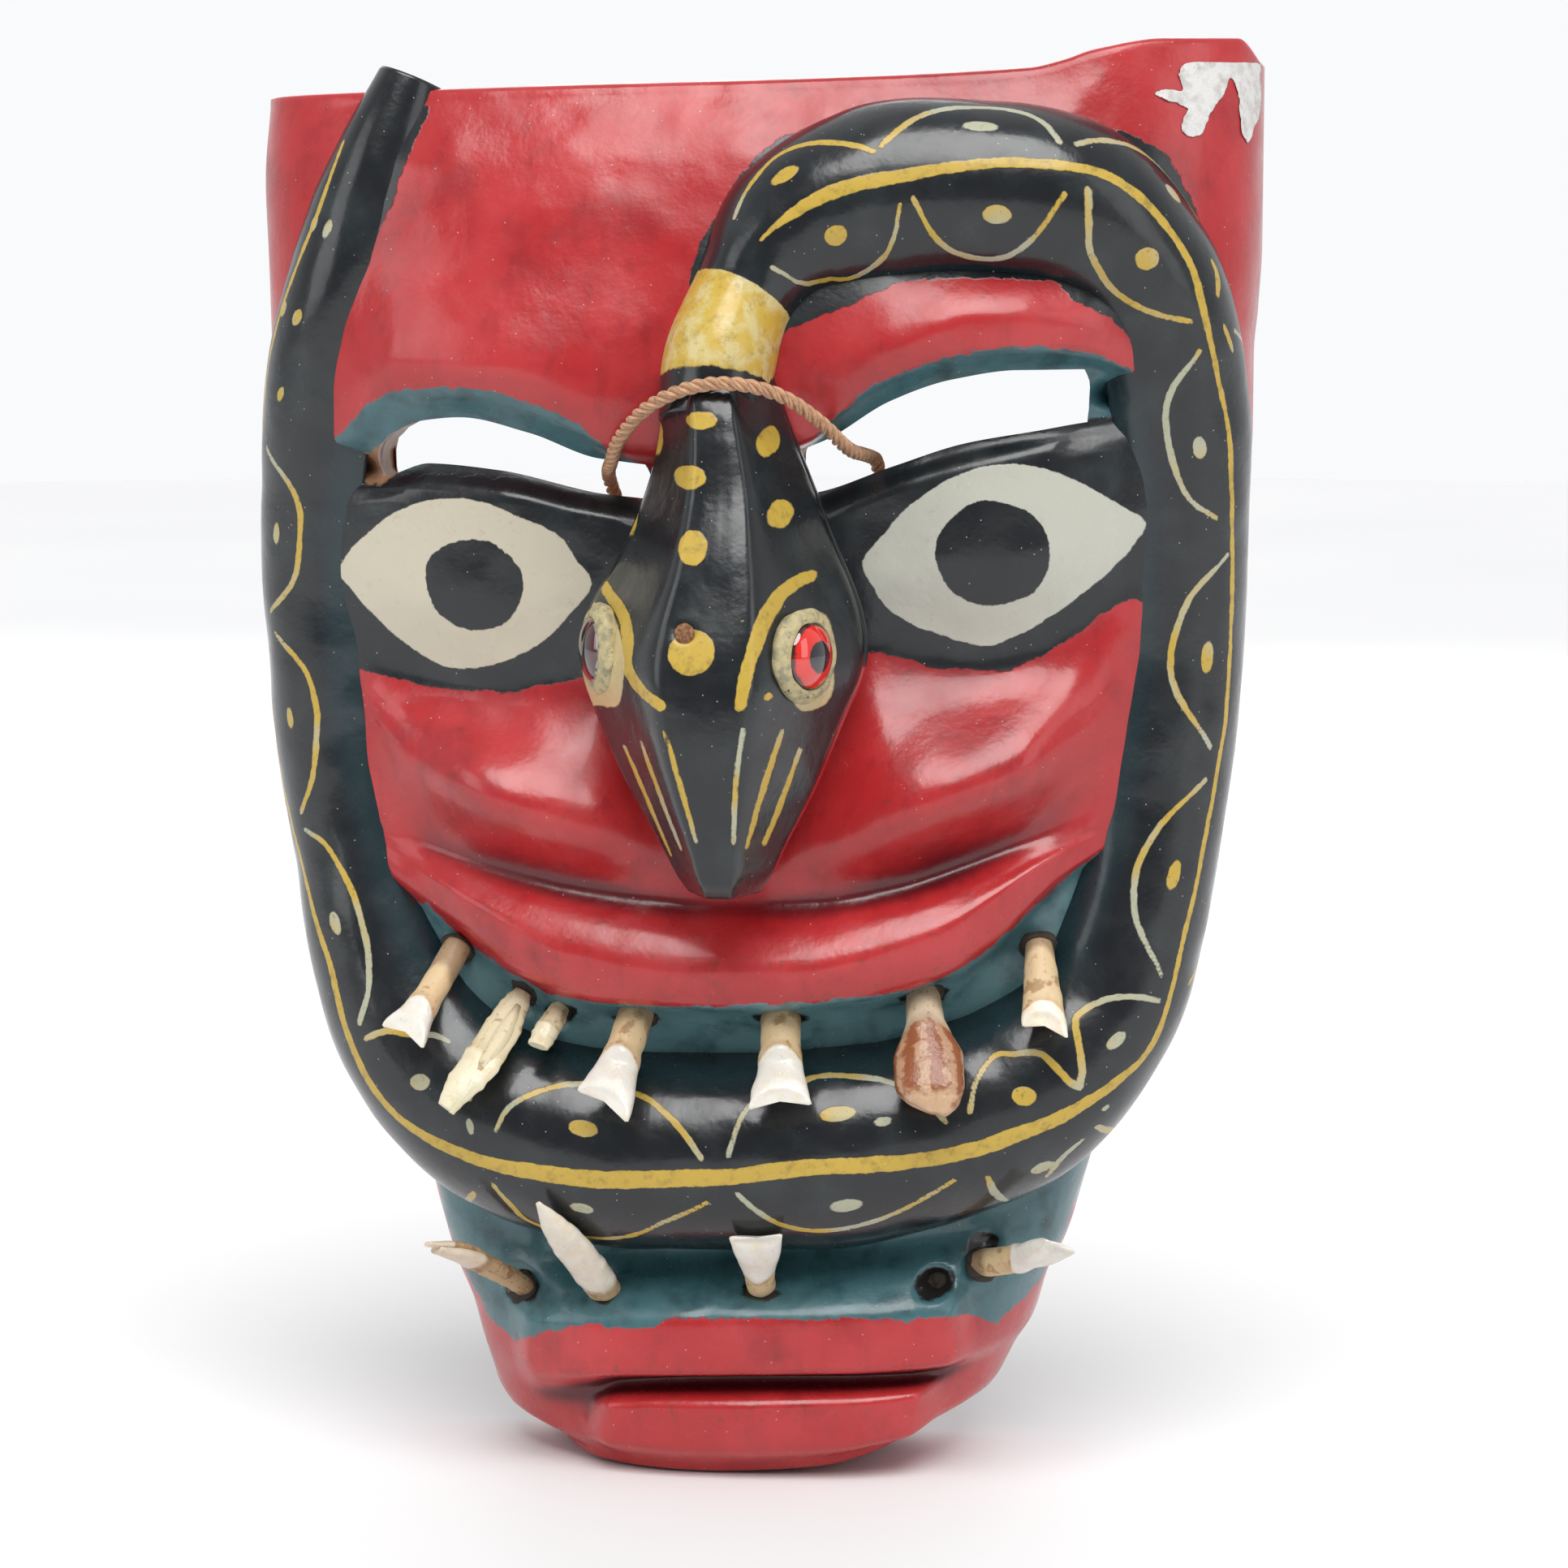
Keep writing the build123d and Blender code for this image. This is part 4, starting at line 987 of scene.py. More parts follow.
def headPiece():
    rows = head.shape[0]
    points = capRows(head)
    share, fall = capValues(headShare), capValues(headFall)
    x, z = points[..., 0], points[..., 2]
    p = headPaint
    nail = 1.6 * spot(x, z, (-7, 249), (3.4, 3.4)) * (fall < 1)
    points[..., 1] += nail
    low = np.clip((262 - z) / 12, 0, 1)
    marks = {
        "line": np.minimum(dotsDistance(p["dots"], x, z), strokesDistance(p["brows"], x, z, 2.0)),
        "stroke": strokesDistance(p["muzzle"], x, z, 0.75),
        "under": np.maximum((1.04 - fall) * 30, (z - 236) * 0.6),
        "seam": np.abs(fall - 1.055) * 30 - 0.6 * low,
        "surround": np.min([areaDistance(rounded(o, 4, closed=True), x, z) for o in p["surrounds"]], axis=0),
        "fold": np.clip(fall - 1.2, 0, 1),
    }
    hidden = fall > 1
    for key in ("line", "stroke", "surround"):
        marks[key] = np.where(hidden, 20, marks[key])
    faces = turnedOut(points, gridFaces(points.shape[0], points.shape[1], aroundColumns=True))
    return makePiece("snake_head_carving", points, faces, ["snake_head"],
                     snakePaint("snake head paint", onHead=True), marks)


# ---- glass eyes, their putty, and the nail ----

eyes = {
    "left": {"middle": (-35.0, -91.5, 241), "looks": (-0.93, -0.37, 0), "radius": (9.2, 9.2), "dome": 4.6, "seed": 41},
    "right": {"middle": (24.2, -106.0, 241.5), "looks": (0.85, -0.53, 0.02), "radius": (9.2, 9.2), "dome": 4.8, "seed": 42},
}


def seatAxes(looks):
    out = np.array(looks, float) / np.linalg.norm(looks)
    side = np.cross((0, 0, 1.0), out)
    side /= np.linalg.norm(side)
    return out, side, np.cross(out, side)


def turnedPiece(name, middle, looks, profile, stands, material, wobble=0.0, seed=0, around=72, extra=None):
    # a profile of (radius, height) turned round the way the piece looks, its radius wandering a little
    out, side, up = seatAxes(looks)
    profile = np.asarray(profile, float)
    turn = np.linspace(0, 2 * np.pi, around, endpoint=False)
    wander = 1 + wobble * unevenness(np.cos(turn)[None, :] * 3 + np.zeros((len(profile), 1)), np.sin(turn)[None, :] * 3
                                     + profile[:, 1:] * 0.3, 1.1, seed)
    r = profile[:, :1] * wander
    points = (np.asarray(middle, float) + r[..., None] * (np.cos(turn)[:, None] * side + np.sin(turn)[:, None] * up)
              + profile[:, 1][:, None, None] * out)
    faces = turnedOut(points, gridFaces(len(profile), around, aroundColumns=True))
    radius = np.broadcast_to(profile[:, :1] / max(profile[:, 0].max(), 1e-6), points.shape[:2])
    marks = {"radius": radius, "turn": np.broadcast_to(np.abs(turn - np.pi)[None, :] / np.pi, points.shape[:2])}
    marks.update(extra or {})
    return makePiece(name, points, faces, stands, material, marks)


def glassEye(side):
    f = Finish(side + " glass eye")
    radius = f.math("ADD", f.mark("radius"), f.math("MULTIPLY_ADD", f.noise(2.5, 2), 0.10, -0.05))
    if side == "right":
        color = f.mix(f.between(radius, 0.44, 0.50), (0.004, 0.004, 0.006), (0.72, 0.022, 0.012))
        color = f.mix(f.between(radius, 0.86, 0.93), color, (0.05, 0.005, 0.004))
    else:
        color = f.mix(f.between(radius, 0.55, 0.72), (0.006, 0.001, 0.003), (0.06, 0.004, 0.008))
        crackle, _ = f.cells(1.6)
        color = f.mix(f.math("MULTIPLY", f.between(radius, 0.90, 0.94), f.between(crackle, 0.25, 0.5)), color, (0.30, 0.30, 0.28))
    return f.put(color, 0.06, f.noise(6, 1), 0.05, **{"Specular IOR Level": 0.8, "Coat Weight": 1.0, "Coat Roughness": 0.02})


def puttyFinish():
    f = Finish("aged putty")
    color = f.mix(f.between(f.noise(2.5, 4), 0.4, 0.7), (0.52, 0.44, 0.24), (0.28, 0.26, 0.17))
    color = f.mix(f.between(f.noise(1.2, 4), 0.62, 0.72), color, paints["black"])
    return f.put(color, 0.55, f.noise(1.1, 4), 0.35, **{"Specular IOR Level": 0.35})


def nailFinish():
    f = Finish("rusty nail")
    color = f.mix(f.between(f.noise(0.9, 5), 0.4, 0.65), (0.18, 0.07, 0.03), (0.36, 0.20, 0.10))
    return f.put(color, 0.7, f.noise(0.6, 4), 0.2, **{"Metallic": 0.3})


def makeEyes():
    putty = puttyFinish()
    for side, e in eyes.items():
        r, h = e["radius"][0], e["dome"]
        angle = np.linspace(0, np.pi / 2, 22)
        dome = [(r * math.sin(a), h * math.cos(a)) for a in angle] + [(r * 0.98, -1.5), (r * 0.6, -3.0), (0.001, -3.0)]
        dome[0] = (0.001, h)
        turnedPiece(side + "_eye", e["middle"], e["looks"], dome, [side + "_glass_eye", side + "_iris"],
                    glassEye(side))
        ring = [(r * 0.90, -3.5), (r * 0.97, 1.0), (r * 1.06, 1.6), (r * 1.2, 1.2), (r * 1.34, 0.1), (r * 1.40, -1.2), (r * 1.3, -3.5)]
        smooth = rounded(ring, 5)
        turnedPiece(side + "_putty", e["middle"], e["looks"], np.vstack([smooth, smooth[:1]]), [side + "_eye_putty"],
                    putty, wobble=0.05, seed=e["seed"])
    head = [(0.001, 0.9), (1.2, 0.85), (2.2, 0.6), (2.7, 0.1), (2.6, -0.5), (1.3, -0.9), (1.2, -12), (0.001, -12)]
    turnedPiece("nail", (-7, -121.6, 249), (0, -1, 0), rounded(head, 3), ["snake_head_nail"], nailFinish(),
                wobble=0.08, seed=5, around=28)


# ---- teeth ----

# entry and tip (across, back, up), crown width and thickness; root is the half width where it leaves the wood;
# cut is how far each side of the biting edge runs on
teeth = {
    "upper_tooth_1": {"entry": (-80.5, -61, 150), "tip": (-91, -81, 131), "crown": (14.5, 6), "root": 4.1, "cut": (0, 2.5), "seed": 51,
                      "neck": 0.66},
    "upper_tooth_3": {"entry": (-28, -69, 134), "tip": (-34, -89, 114), "crown": (17, 7), "root": 5.1, "cut": (-2.5, 4.5), "seed": 52},
    "upper_tooth_4": {"entry": (13.2, -69, 134.5), "tip": (15, -89, 115), "crown": (17.5, 7), "root": 5.6, "cut": (1.5, 0.5), "seed": 53},
    "upper_tooth_5": {"entry": (53, -68, 140), "tip": (57, -88, 113), "crown": (19.5, 9.5), "root": 5.0, "cut": (-3, 1), "seed": 54,
                      "kind": "brown"},
    "upper_tooth_6": {"entry": (84.5, -60, 153), "tip": (87, -77, 135.5), "crown": (12.5, 7), "root": 4.9, "cut": (-1, 4), "seed": 55,
                      "kind": "plain"},
    "lower_tooth_3": {"entry": (6, -54, 54), "tip": (7, -78, 75), "crown": (15, 7), "root": 4.2, "cut": (-1, 2), "seed": 56},
    "lower_tooth_5": {"entry": (70, -48, 62), "tip": (91, -69, 72), "crown": (14.5, 7), "root": 4.3, "cut": (4, -1.5), "seed": 57},
}


def toothFinish(name, crown, root, stain, split=0.5, edge=None):
    # root tone with lengthwise stains, then enamel past the split, with a darker neck between them
    f = Finish(name)
    along = f.math("ADD", f.mark("along"), f.math("MULTIPLY_ADD", f.noise(3.0, 2), 0.06, -0.03))
    streaks = f.math("SUBTRACT", f.noise(1.4, 5, 0.6), f.math("MULTIPLY", f.mark("streak"), 0.35))
    rootTone = f.mix(f.math("MULTIPLY", f.between(streaks, 0.42, 0.66), 0.75), root, stain)
    rootTone = f.mix(f.between(f.noise(5, 4), 0.56, 0.64), rootTone, (root[0] * 0.62, root[1] * 0.52, root[2] * 0.42))
    crownTone = f.mix(f.between(f.noise(5, 3), 0.45, 0.8), crown, (crown[0] * 0.95, crown[1] * 0.88, crown[2] * 0.76))
    crownTone = f.mix(f.math("MULTIPLY", f.between(f.noise(1.1, 5), 0.62, 0.72), 0.25), crownTone, stain)
    share = f.between(along, split - 0.02, split + 0.02)
    color = f.mix(share, rootTone, crownTone)
    neck = f.math("MULTIPLY", f.between(along, split - 0.10, split - 0.01), f.math("SUBTRACT", 1.0, share))
    color = f.mix(f.math("MULTIPLY", neck, 0.35), color, stain)
    base = f.math("SUBTRACT", 1.0, f.between(along, -0.02, 0.12))
    color = f.mix(f.math("MULTIPLY", base, 0.65), color, (0.16, 0.09, 0.05))
    if edge:
        stripes = f.math("ADD", f.math("MULTIPLY", f.mark("streak"), 0.5), f.math("MULTIPLY", f.noise(2.0, 4), 0.9))
        color = f.mix(f.math("MULTIPLY", f.math("MULTIPLY", f.between(stripes, 0.72, 0.95), share), 0.55), color, edge)
        late = f.math("ADD", along, f.math("MULTIPLY_ADD", f.noise(2.4, 3), 0.4, -0.2))
        color = f.mix(f.math("MULTIPLY", f.between(late, 0.80, 0.96), 0.85), color, edge)
    rough = f.blend(share, 0.50, 0.16)
    return f.put(color, rough, f.math("ADD", f.noise(0.9, 4), f.math("MULTIPLY", streaks, 0.8)), 0.14,
                 **{"Specular IOR Level": 0.5, "Subsurface Weight": 0.08, "Subsurface Scale": 0.002})


def toothPoints(t):
    # an oval section carried from the root to the biting edge: widths and thicknesses are smooth curves of the
    # place along, and the edge runs further on one side than the other
    entry, tip = np.array(t["entry"], float), np.array(t["tip"], float)
    axis = (tip - entry) / np.linalg.norm(tip - entry)
    length = np.linalg.norm(tip - entry)
    wide = np.array((1.0, 0, 0)) - axis * axis[0]
    wide /= np.linalg.norm(wide)
    thick = np.cross(axis, wide)
    w, d, r = t["crown"][0] / 2, t["crown"][1] / 2, t["root"]
    if t.get("kind") == "brown":
        knots = [(-0.12, r * .9, r * .85), (0, r, r * .9), (0.14, r * 1.05, r), (0.24, w * .66, d * .95), (0.5, w * .98, d * 1.05),
                 (0.72, w, d), (0.90, w * .76, d * .66), (1.0, w * .40, d * .25)]
    elif t.get("kind") == "plain":
        knots = [(-0.12, r * .75, r * .8), (0, r * .85, r * .9), (0.4, r * 1.02, r * .95), (0.72, w * .92, d), (0.9, w, d * .8),
                 (1.0, w * .98, d * .35)]
    else:
        n = t.get("neck", 0.46)
        knots = [(-0.12, r * .95, r * .85), (0, r, r * .92), (n - 0.16, r * 1.0, r * .92), (n - 0.04, r * 1.1, r * 1.0),
                 (n + 0.10, w * .72, d * 1.0), (n / 2 + 0.54, w * .88, d * .95), (0.95, w * .98, d * .7), (1.0, w * 1.0, d * .42)]
    f = np.linspace(knots[0][0], 1, 64)
    halfWide, halfThick = through(knots, f).T
    turn = np.linspace(0, 2 * np.pi, 44, endpoint=False)
    c, s = np.cos(turn), np.sin(turn)
    square = 1 / (np.abs(c) ** 3 + np.abs(s) ** 3) ** (1 / 3)
    crown = np.clip((f - 0.45) / 0.3, 0, 1)[:, None]
    shape = 1 + (square - 1) * crown * 0.7
    bump = 1 + 0.03 * unevenness(f[:, None] * 14, c[None, :] * 4 + 9, 1.6, t["seed"])
    late = np.clip((f[:, None] - 0.5) / 0.5, 0, 1) ** 2
    dip = 0.0 if t.get("kind") == "brown" else 3.0
    run = f[:, None] * length + late * (np.where(c > 0, t["cut"][1], t["cut"][0]) * np.abs(c) ** 1.5 - dip * (1 - c ** 2))
    hollow = 1.3 * late * np.clip(-s, 0, 1) * (1 - c ** 2)      # the biting face is a little scooped
    bow = (f[:, None] - 0.5) ** 2 * 3
    points = (entry + run[..., None] * axis + (halfWide[:, None] * c * shape * bump)[..., None] * wide
              + (halfThick[:, None] * s * shape * bump + bow + hollow)[..., None] * thick)
    points[-1] = points[-1].mean(axis=0) + (points[-1] - points[-1].mean(axis=0)) * 0.9
    along = f[:, None] + 0.12 * (1 - c ** 2) - 0.06 + 0.46 - t.get("neck", 0.46)
    return points, along, np.broadcast_to(np.abs(np.sin(turn * 4 + 1))[None, :], along.shape)


# broken teeth and slivers: a middle line with a width and thickness at each knot
slivers = {
    "upper_tooth_2": {"line": [(-60, -64, 141, 2.6, 2.0), (-63, -67, 136, 4.6, 2.2), (-66, -72, 130, 5.6, 2.0), (-70, -78, 123.5, 5.8, 1.9),
                               (-75, -83, 117, 4.8, 1.6), (-79, -86, 112, 2.2, 1.0)],
                      "second": [(-61, -67, 137, 1.2, 1.8), (-64.5, -73, 130.5, 2.6, 2.0), (-69.5, -79.5, 122, 2.4, 1.7), (-74, -84, 115.5, 2.2, 1.3),
                                 (-77, -86.5, 110.5, 0.8, 0.7)],
                      "finish": "sliver", "seed": 61},
    "upper_tooth_2_stub": {"line": [(-49.5, -62, 137, 2.4, 2.8), (-51, -67, 134, 3.2, 3.0), (-53, -71, 130.5, 3.6, 2.8), (-54.5, -74, 127.5, 3.0, 1.4)],
                           "finish": "sliver", "seed": 62},
    "lower_tooth_1": {"line": [(-63, -44, 51, 3.0, 2.6), (-66, -50, 55, 3.6, 2.8), (-71, -58, 60, 4.4, 2.6), (-77, -66, 65, 4.2, 2.2),
                               (-84, -73, 68.5, 2.4, 1.2)],
                      "second": [(-70, -58, 61.5, 1.6, 1.4), (-78, -67, 68, 2.6, 1.4), (-86, -75, 70.5, 1.6, 0.8)],
                      "finish": "brownSliver", "seed": 63},
    "lower_tooth_2": {"line": [(-38, -48, 50, 3.8, 3.4), (-39, -54, 53.5, 4.8, 3.8), (-41, -61, 59.5, 5.6, 3.8), (-45, -69, 68, 5.6, 3.4),
                               (-49.5, -75, 76, 4.2, 2.6), (-54, -79, 84, 0.7, 0.6)],
                      "finish": "fang", "seed": 64},
}


def sliverPoints(line, seed, notch=0.065):
    # a flattened oval carried along a bent line, its radius broken up towards one side
    k = rounded(line, 14)
    middle = np.stack([k[:, 0], k[:, 1], k[:, 2]], 1)
    axis = np.gradient(middle, axis=0)
    axis /= np.linalg.norm(axis, axis=1, keepdims=True)
    wide = np.array((1.0, 0, 0)) - axis * axis[:, :1]
    wide /= np.linalg.norm(wide, axis=1, keepdims=True)
    thick = np.cross(axis, wide)
    turn = np.linspace(0, 2 * np.pi, 36, endpoint=False)
    f = np.linspace(0, 1, len(k))
    rough = 1 + notch * unevenness(f[:, None] * len(k) / 2.2, np.cos(turn)[None, :] * 3 + np.sin(turn)[None, :], 1.3, seed)
    points = (middle[:, None] + (k[:, 3][:, None] * np.cos(turn) * rough)[..., None] * wide[:, None]
              + (k[:, 4][:, None] * np.sin(turn) * rough)[..., None] * thick[:, None])
    return points, np.broadcast_to(f[:, None], points.shape[:2]), np.broadcast_to(np.abs(np.sin(turn * 3))[None, :], points.shape[:2])


def makeTeeth():
    finishes = {
        None: toothFinish("enamel and root", (0.74, 0.715, 0.65), (0.66, 0.49, 0.28), (0.40, 0.21, 0.09), split=0.46),
        "brown": toothFinish("stained brown tooth", (0.26, 0.085, 0.035), (0.60, 0.47, 0.32), (0.11, 0.030, 0.014), split=0.24,
                             edge=(0.58, 0.40, 0.25)),
        "plain": toothFinish("old ivory tooth", (0.80, 0.74, 0.62), (0.66, 0.50, 0.29), (0.44, 0.23, 0.09), split=0.78),
        "sliver": toothFinish("split sliver", (0.72, 0.66, 0.48), (0.66, 0.57, 0.38), (0.46, 0.33, 0.15), split=0.55),
        "brownSliver": toothFinish("brown splinter", (0.66, 0.56, 0.44), (0.46, 0.30, 0.16), (0.13, 0.05, 0.02), split=0.66),
        "fang": toothFinish("half fang", (0.72, 0.66, 0.56), (0.58, 0.43, 0.25), (0.28, 0.14, 0.06), split=0.32),
    }
    shapes = [(name, t.get("kind"), [toothPoints(t)]) for name, t in teeth.items()]
    shapes += [(name, s["finish"], [sliverPoints(s[key], s["seed"] + n) for n, key in enumerate(("line", "second")) if key in s])
               for name, s in slivers.items()]
    for name, kind, solids in shapes:
        parts, faces, along, streak, start = [], [], [], [], 0
        for points, a, b in solids:
            points = capRows(points)
            faces.append(turnedOut(points, gridFaces(*points.shape[:2], aroundColumns=True)) + start)
            parts.append(points.reshape(-1, 3))
            along.append(capValues(a).ravel())
            streak.append(capValues(b).ravel())
            start += points.shape[0] * points.shape[1]
        makePiece(name + "_shaped", np.concatenate(parts), np.concatenate(faces), [name], finishes[kind],
                  {"along": np.concatenate(along), "streak": np.concatenate(streak)})


# ---- resin round the roots ----

resinBeds = {
    "upper_resin": {"stands": "upper_tooth_resin", "beds": [((-79.5, -58, 152), (-91, -82, 132), 5.0), ((-60, -61, 141), (-76, -83, 117), 4.6),
                    ((-49.5, -59, 137), (-53, -74, 128), 4.8), ((-27.5, -65.5, 136), (-34, -90, 114), 5.9),
                    ((13, -65.5, 136.5), (15, -90, 115), 6.4), ((52.5, -64.5, 143), (57, -88, 113), 6.0), ((84, -56.5, 155.5), (87, -78, 135), 5.2)]},
    "lower_resin": {"stands": "lower_tooth_resin", "beds": [((-63.5, -43, 51), (-84, -73, 68.5), 5.2), ((-38.5, -50, 52), (-45, -68, 68), 5.2),
                    ((6, -51, 51), (7, -79, 76), 4.8), ((55, -46, 55), (57, -70, 66), 4.8), ((68, -45, 61), (92, -70, 73), 5.2)]},
}


def resinFinish():
    f = Finish("dark filler")
    color = f.mix(f.noise(1.5, 5), (0.012, 0.010, 0.009), (0.07, 0.05, 0.035))
    return f.put(color, f.blend(f.noise(2, 3), 0.45, 0.8), f.noise(1.0, 5, 0.7), 0.8, **{"Specular IOR Level": 0.4})


def makeResin():
    # each bed is a lumpy ball let into the wood round a root
    finish = resinFinish()
    for name, r in resinBeds.items():
        parts, faces, start = [], [], 0
        for number, (entry, tip, radius) in enumerate(r["beds"]):
            out, side, up = seatAxes(np.array(tip, float) - np.array(entry, float))
            lift = np.linspace(-np.pi / 2 + 0.01, np.pi / 2 - 0.01, 18)[:, None]
            turn = np.linspace(0, 2 * np.pi, 36, endpoint=False)[None, :]
            lump = radius * (1 + 0.16 * unevenness(np.cos(turn) * 3 + lift * 0, np.sin(turn) * 3 + lift * 2, 1.1, 70 + number))
            points = (np.array(entry, float) + (lump * np.cos(lift))[..., None] * (np.cos(turn)[..., None] * side + np.sin(turn)[..., None] * up)
                      + (lump * np.sin(lift) * 0.55)[..., None] * out)
            faces.append(turnedOut(points - entry, gridFaces(18, 36, aroundColumns=True)) + start)
            parts.append(points.reshape(-1, 3))
            start += 18 * 36
        makePiece(name, np.concatenate(parts), np.concatenate(faces), [r["stands"]], finish)


# ---- the torn label ----

labelShape = {
    "outline": [(120, 396), (122, 399), (131, 399.3), (141, 399), (142, 396), (142, 386), (140.5, 381), (139, 377), (137.3, 380),
                (136.6, 386), (136, 391), (134, 395), (132.3, 390.5), (129, 386), (127.5, 382), (126, 379.5), (123, 379), (121, 381),
                (121.5, 384.5), (122.6, 386.5), (119.5, 388), (115, 389.6), (113.8, 391), (116.5, 391.8), (121, 391.6)],
    "step": 0.35,
    "lift": 0.4,
}


def labelPiece():
    # a fine square grid cut to the torn outline, with its edge corners drawn on to it, lying on the wood
    low, high = np.min(labelShape["outline"], 0) - 1, np.max(labelShape["outline"], 0) + 1
    outline = rounded(labelShape["outline"], 5, closed=True)
    outline = outline + 0.25 * np.stack([unevenness(outline[:, 0] * 3, outline[:, 1] * 3, 1.7, 81), unevenness(outline[:, 0] * 3, outline[:, 1] * 3, 1.7, 82)], 1)
    x, z = np.meshgrid(np.arange(low[0], high[0], labelShape["step"]), np.arange(low[1], high[1], labelShape["step"]))
    distance = areaDistance(outline, x, z)
    rows, columns = x.shape
    faces = gridFaces(rows, columns)
    faces = faces[(distance.ravel()[faces] < 0).sum(axis=1) >= 2]
    slopeZ, slopeX = np.gradient(distance, labelShape["step"])
    pull = np.clip(distance, 0, labelShape["step"] * 1.6)
    x, z = x - slopeX * pull, z - slopeZ * pull
    acrossWood, upWood = np.gradient(face, axis=1), np.gradient(face, axis=0)
    normal = np.cross(acrossWood, upWood)
    near = (face[..., 0] > 105) & (face[..., 2] > 365) & (face[..., 2] < 401.5) & (face[..., 1] < -8)
    wood, normal = face[near], normal[near]
    gap = (x.ravel()[:, None] - wood[None, :, 0]) ** 2 + (z.ravel()[:, None] - wood[None, :, 2]) ** 2
    order = np.argsort(gap, axis=1)[:, :4]
    weight = 1 / (np.take_along_axis(gap, order, 1) + 0.3)
    dx, dz = x.ravel()[:, None] - wood[order, 0], z.ravel()[:, None] - wood[order, 2]
    plane = wood[order, 1] - (normal[order, 0] * dx + normal[order, 2] * dz) / np.where(normal[order, 1] == 0, 1, normal[order, 1])
    y = (plane * weight).sum(1) / weight.sum(1)
    curl = 0.5 * np.clip(1 + distance.ravel() / 1.2, 0, 1) * np.clip(unevenness(x.ravel(), z.ravel(), 4, 83), 0, 1)
    top = np.stack([x.ravel(), y - labelShape["lift"] - curl, z.ravel()], 1)
    used, flat = np.unique(faces, return_inverse=True)
    top, faces = top[used], flat.reshape(-1, 4)
    under = top + (0, 0.15, 0)
    edges = np.concatenate([faces[:, [i, (i + 1) % 4]] for i in range(4)])
    key = np.sort(edges, axis=1)
    _, first, count = np.unique(key, axis=0, return_index=True, return_counts=True)
    border = edges[first[count == 1]]
    n = len(top)
    side = np.stack([border[:, 1], border[:, 0], border[:, 0] + n, border[:, 1] + n], 1)
    front = turnedOut(top, faces, (0, -1, 0))
    if not np.array_equal(front, faces):
        side = side[:, ::-1]
    points = np.concatenate([top, under])
    allFaces = np.concatenate([front, front[:, ::-1] + n, side])
    f = Finish("torn label paper")
    color = f.mix(f.between(f.noise(3.5, 5), 0.40, 0.72), (0.70, 0.695, 0.68), (0.52, 0.49, 0.46))
    color = f.mix(f.between(f.noise(0.8, 4), 0.66, 0.74), color, (0.45, 0.30, 0.28))
    finish = f.put(color, 0.8, f.math("ADD", f.noise(0.5, 4), f.math("MULTIPLY", f.noise(2.5, 2), 2.0)), 0.18, **{"Specular IOR Level": 0.2})
    return makePiece("torn_label", points, allFaces, ["paper_label"], finish)


# ---- the hanging cord ----

cordShape = {
    # round the neck and in through both slits, then down inside to the knot (metres)
    "route": [(-0.004, -0.022, 0.209), (-0.015, -0.023, 0.231), (-0.026, -0.025, 0.251), (-0.035, -0.027, 0.268),
              (-0.039, -0.036, 0.283), (-0.037, -0.052, 0.287), (-0.034, -0.068, 0.290), (-0.030, -0.083, 0.298),
              (-0.019, -0.095, 0.309), (-0.002, -0.101, 0.315), (0.015, -0.097, 0.312), (0.026, -0.086, 0.303),
              (0.032, -0.071, 0.294), (0.035, -0.055, 0.292), (0.038, -0.038, 0.289), (0.035, -0.027, 0.272),
              (0.026, -0.025, 0.252), (0.015, -0.023, 0.231), (0.004, -0.022, 0.209)],
    "diameter": 4.0,
    "strands": 3,
    "turnEvery": 11.0,
    "knot": {"middle": (0, -22, 204), "size": (5.2, 4.6, 6.2)},
}


def routePoints(name, points):
    # the smooth spline through the route's neighbourhood, read back as points in millimetres
    curve = bpy.data.curves.new(name, "CURVE")
    curve.dimensions = "3D"
    curve.resolution_u = 24
    spline = curve.splines.new("NURBS")
    spline.points.add(len(points) - 1)
    spline.points.foreach_set("co", np.column_stack([points, np.ones(len(points))]).astype(np.float32).ravel())
    spline.order_u = 3
    spline.use_endpoint_u = True
    holder = bpy.data.objects.new(name, curve)
    mesh = bpy.data.meshes.new_from_object(holder)
    line = np.zeros(len(mesh.vertices) * 3)
    mesh.vertices.foreach_get("co", line)
    bpy.data.objects.remove(holder)
    bpy.data.meshes.remove(mesh)
    return line.reshape(-1, 3) / mm


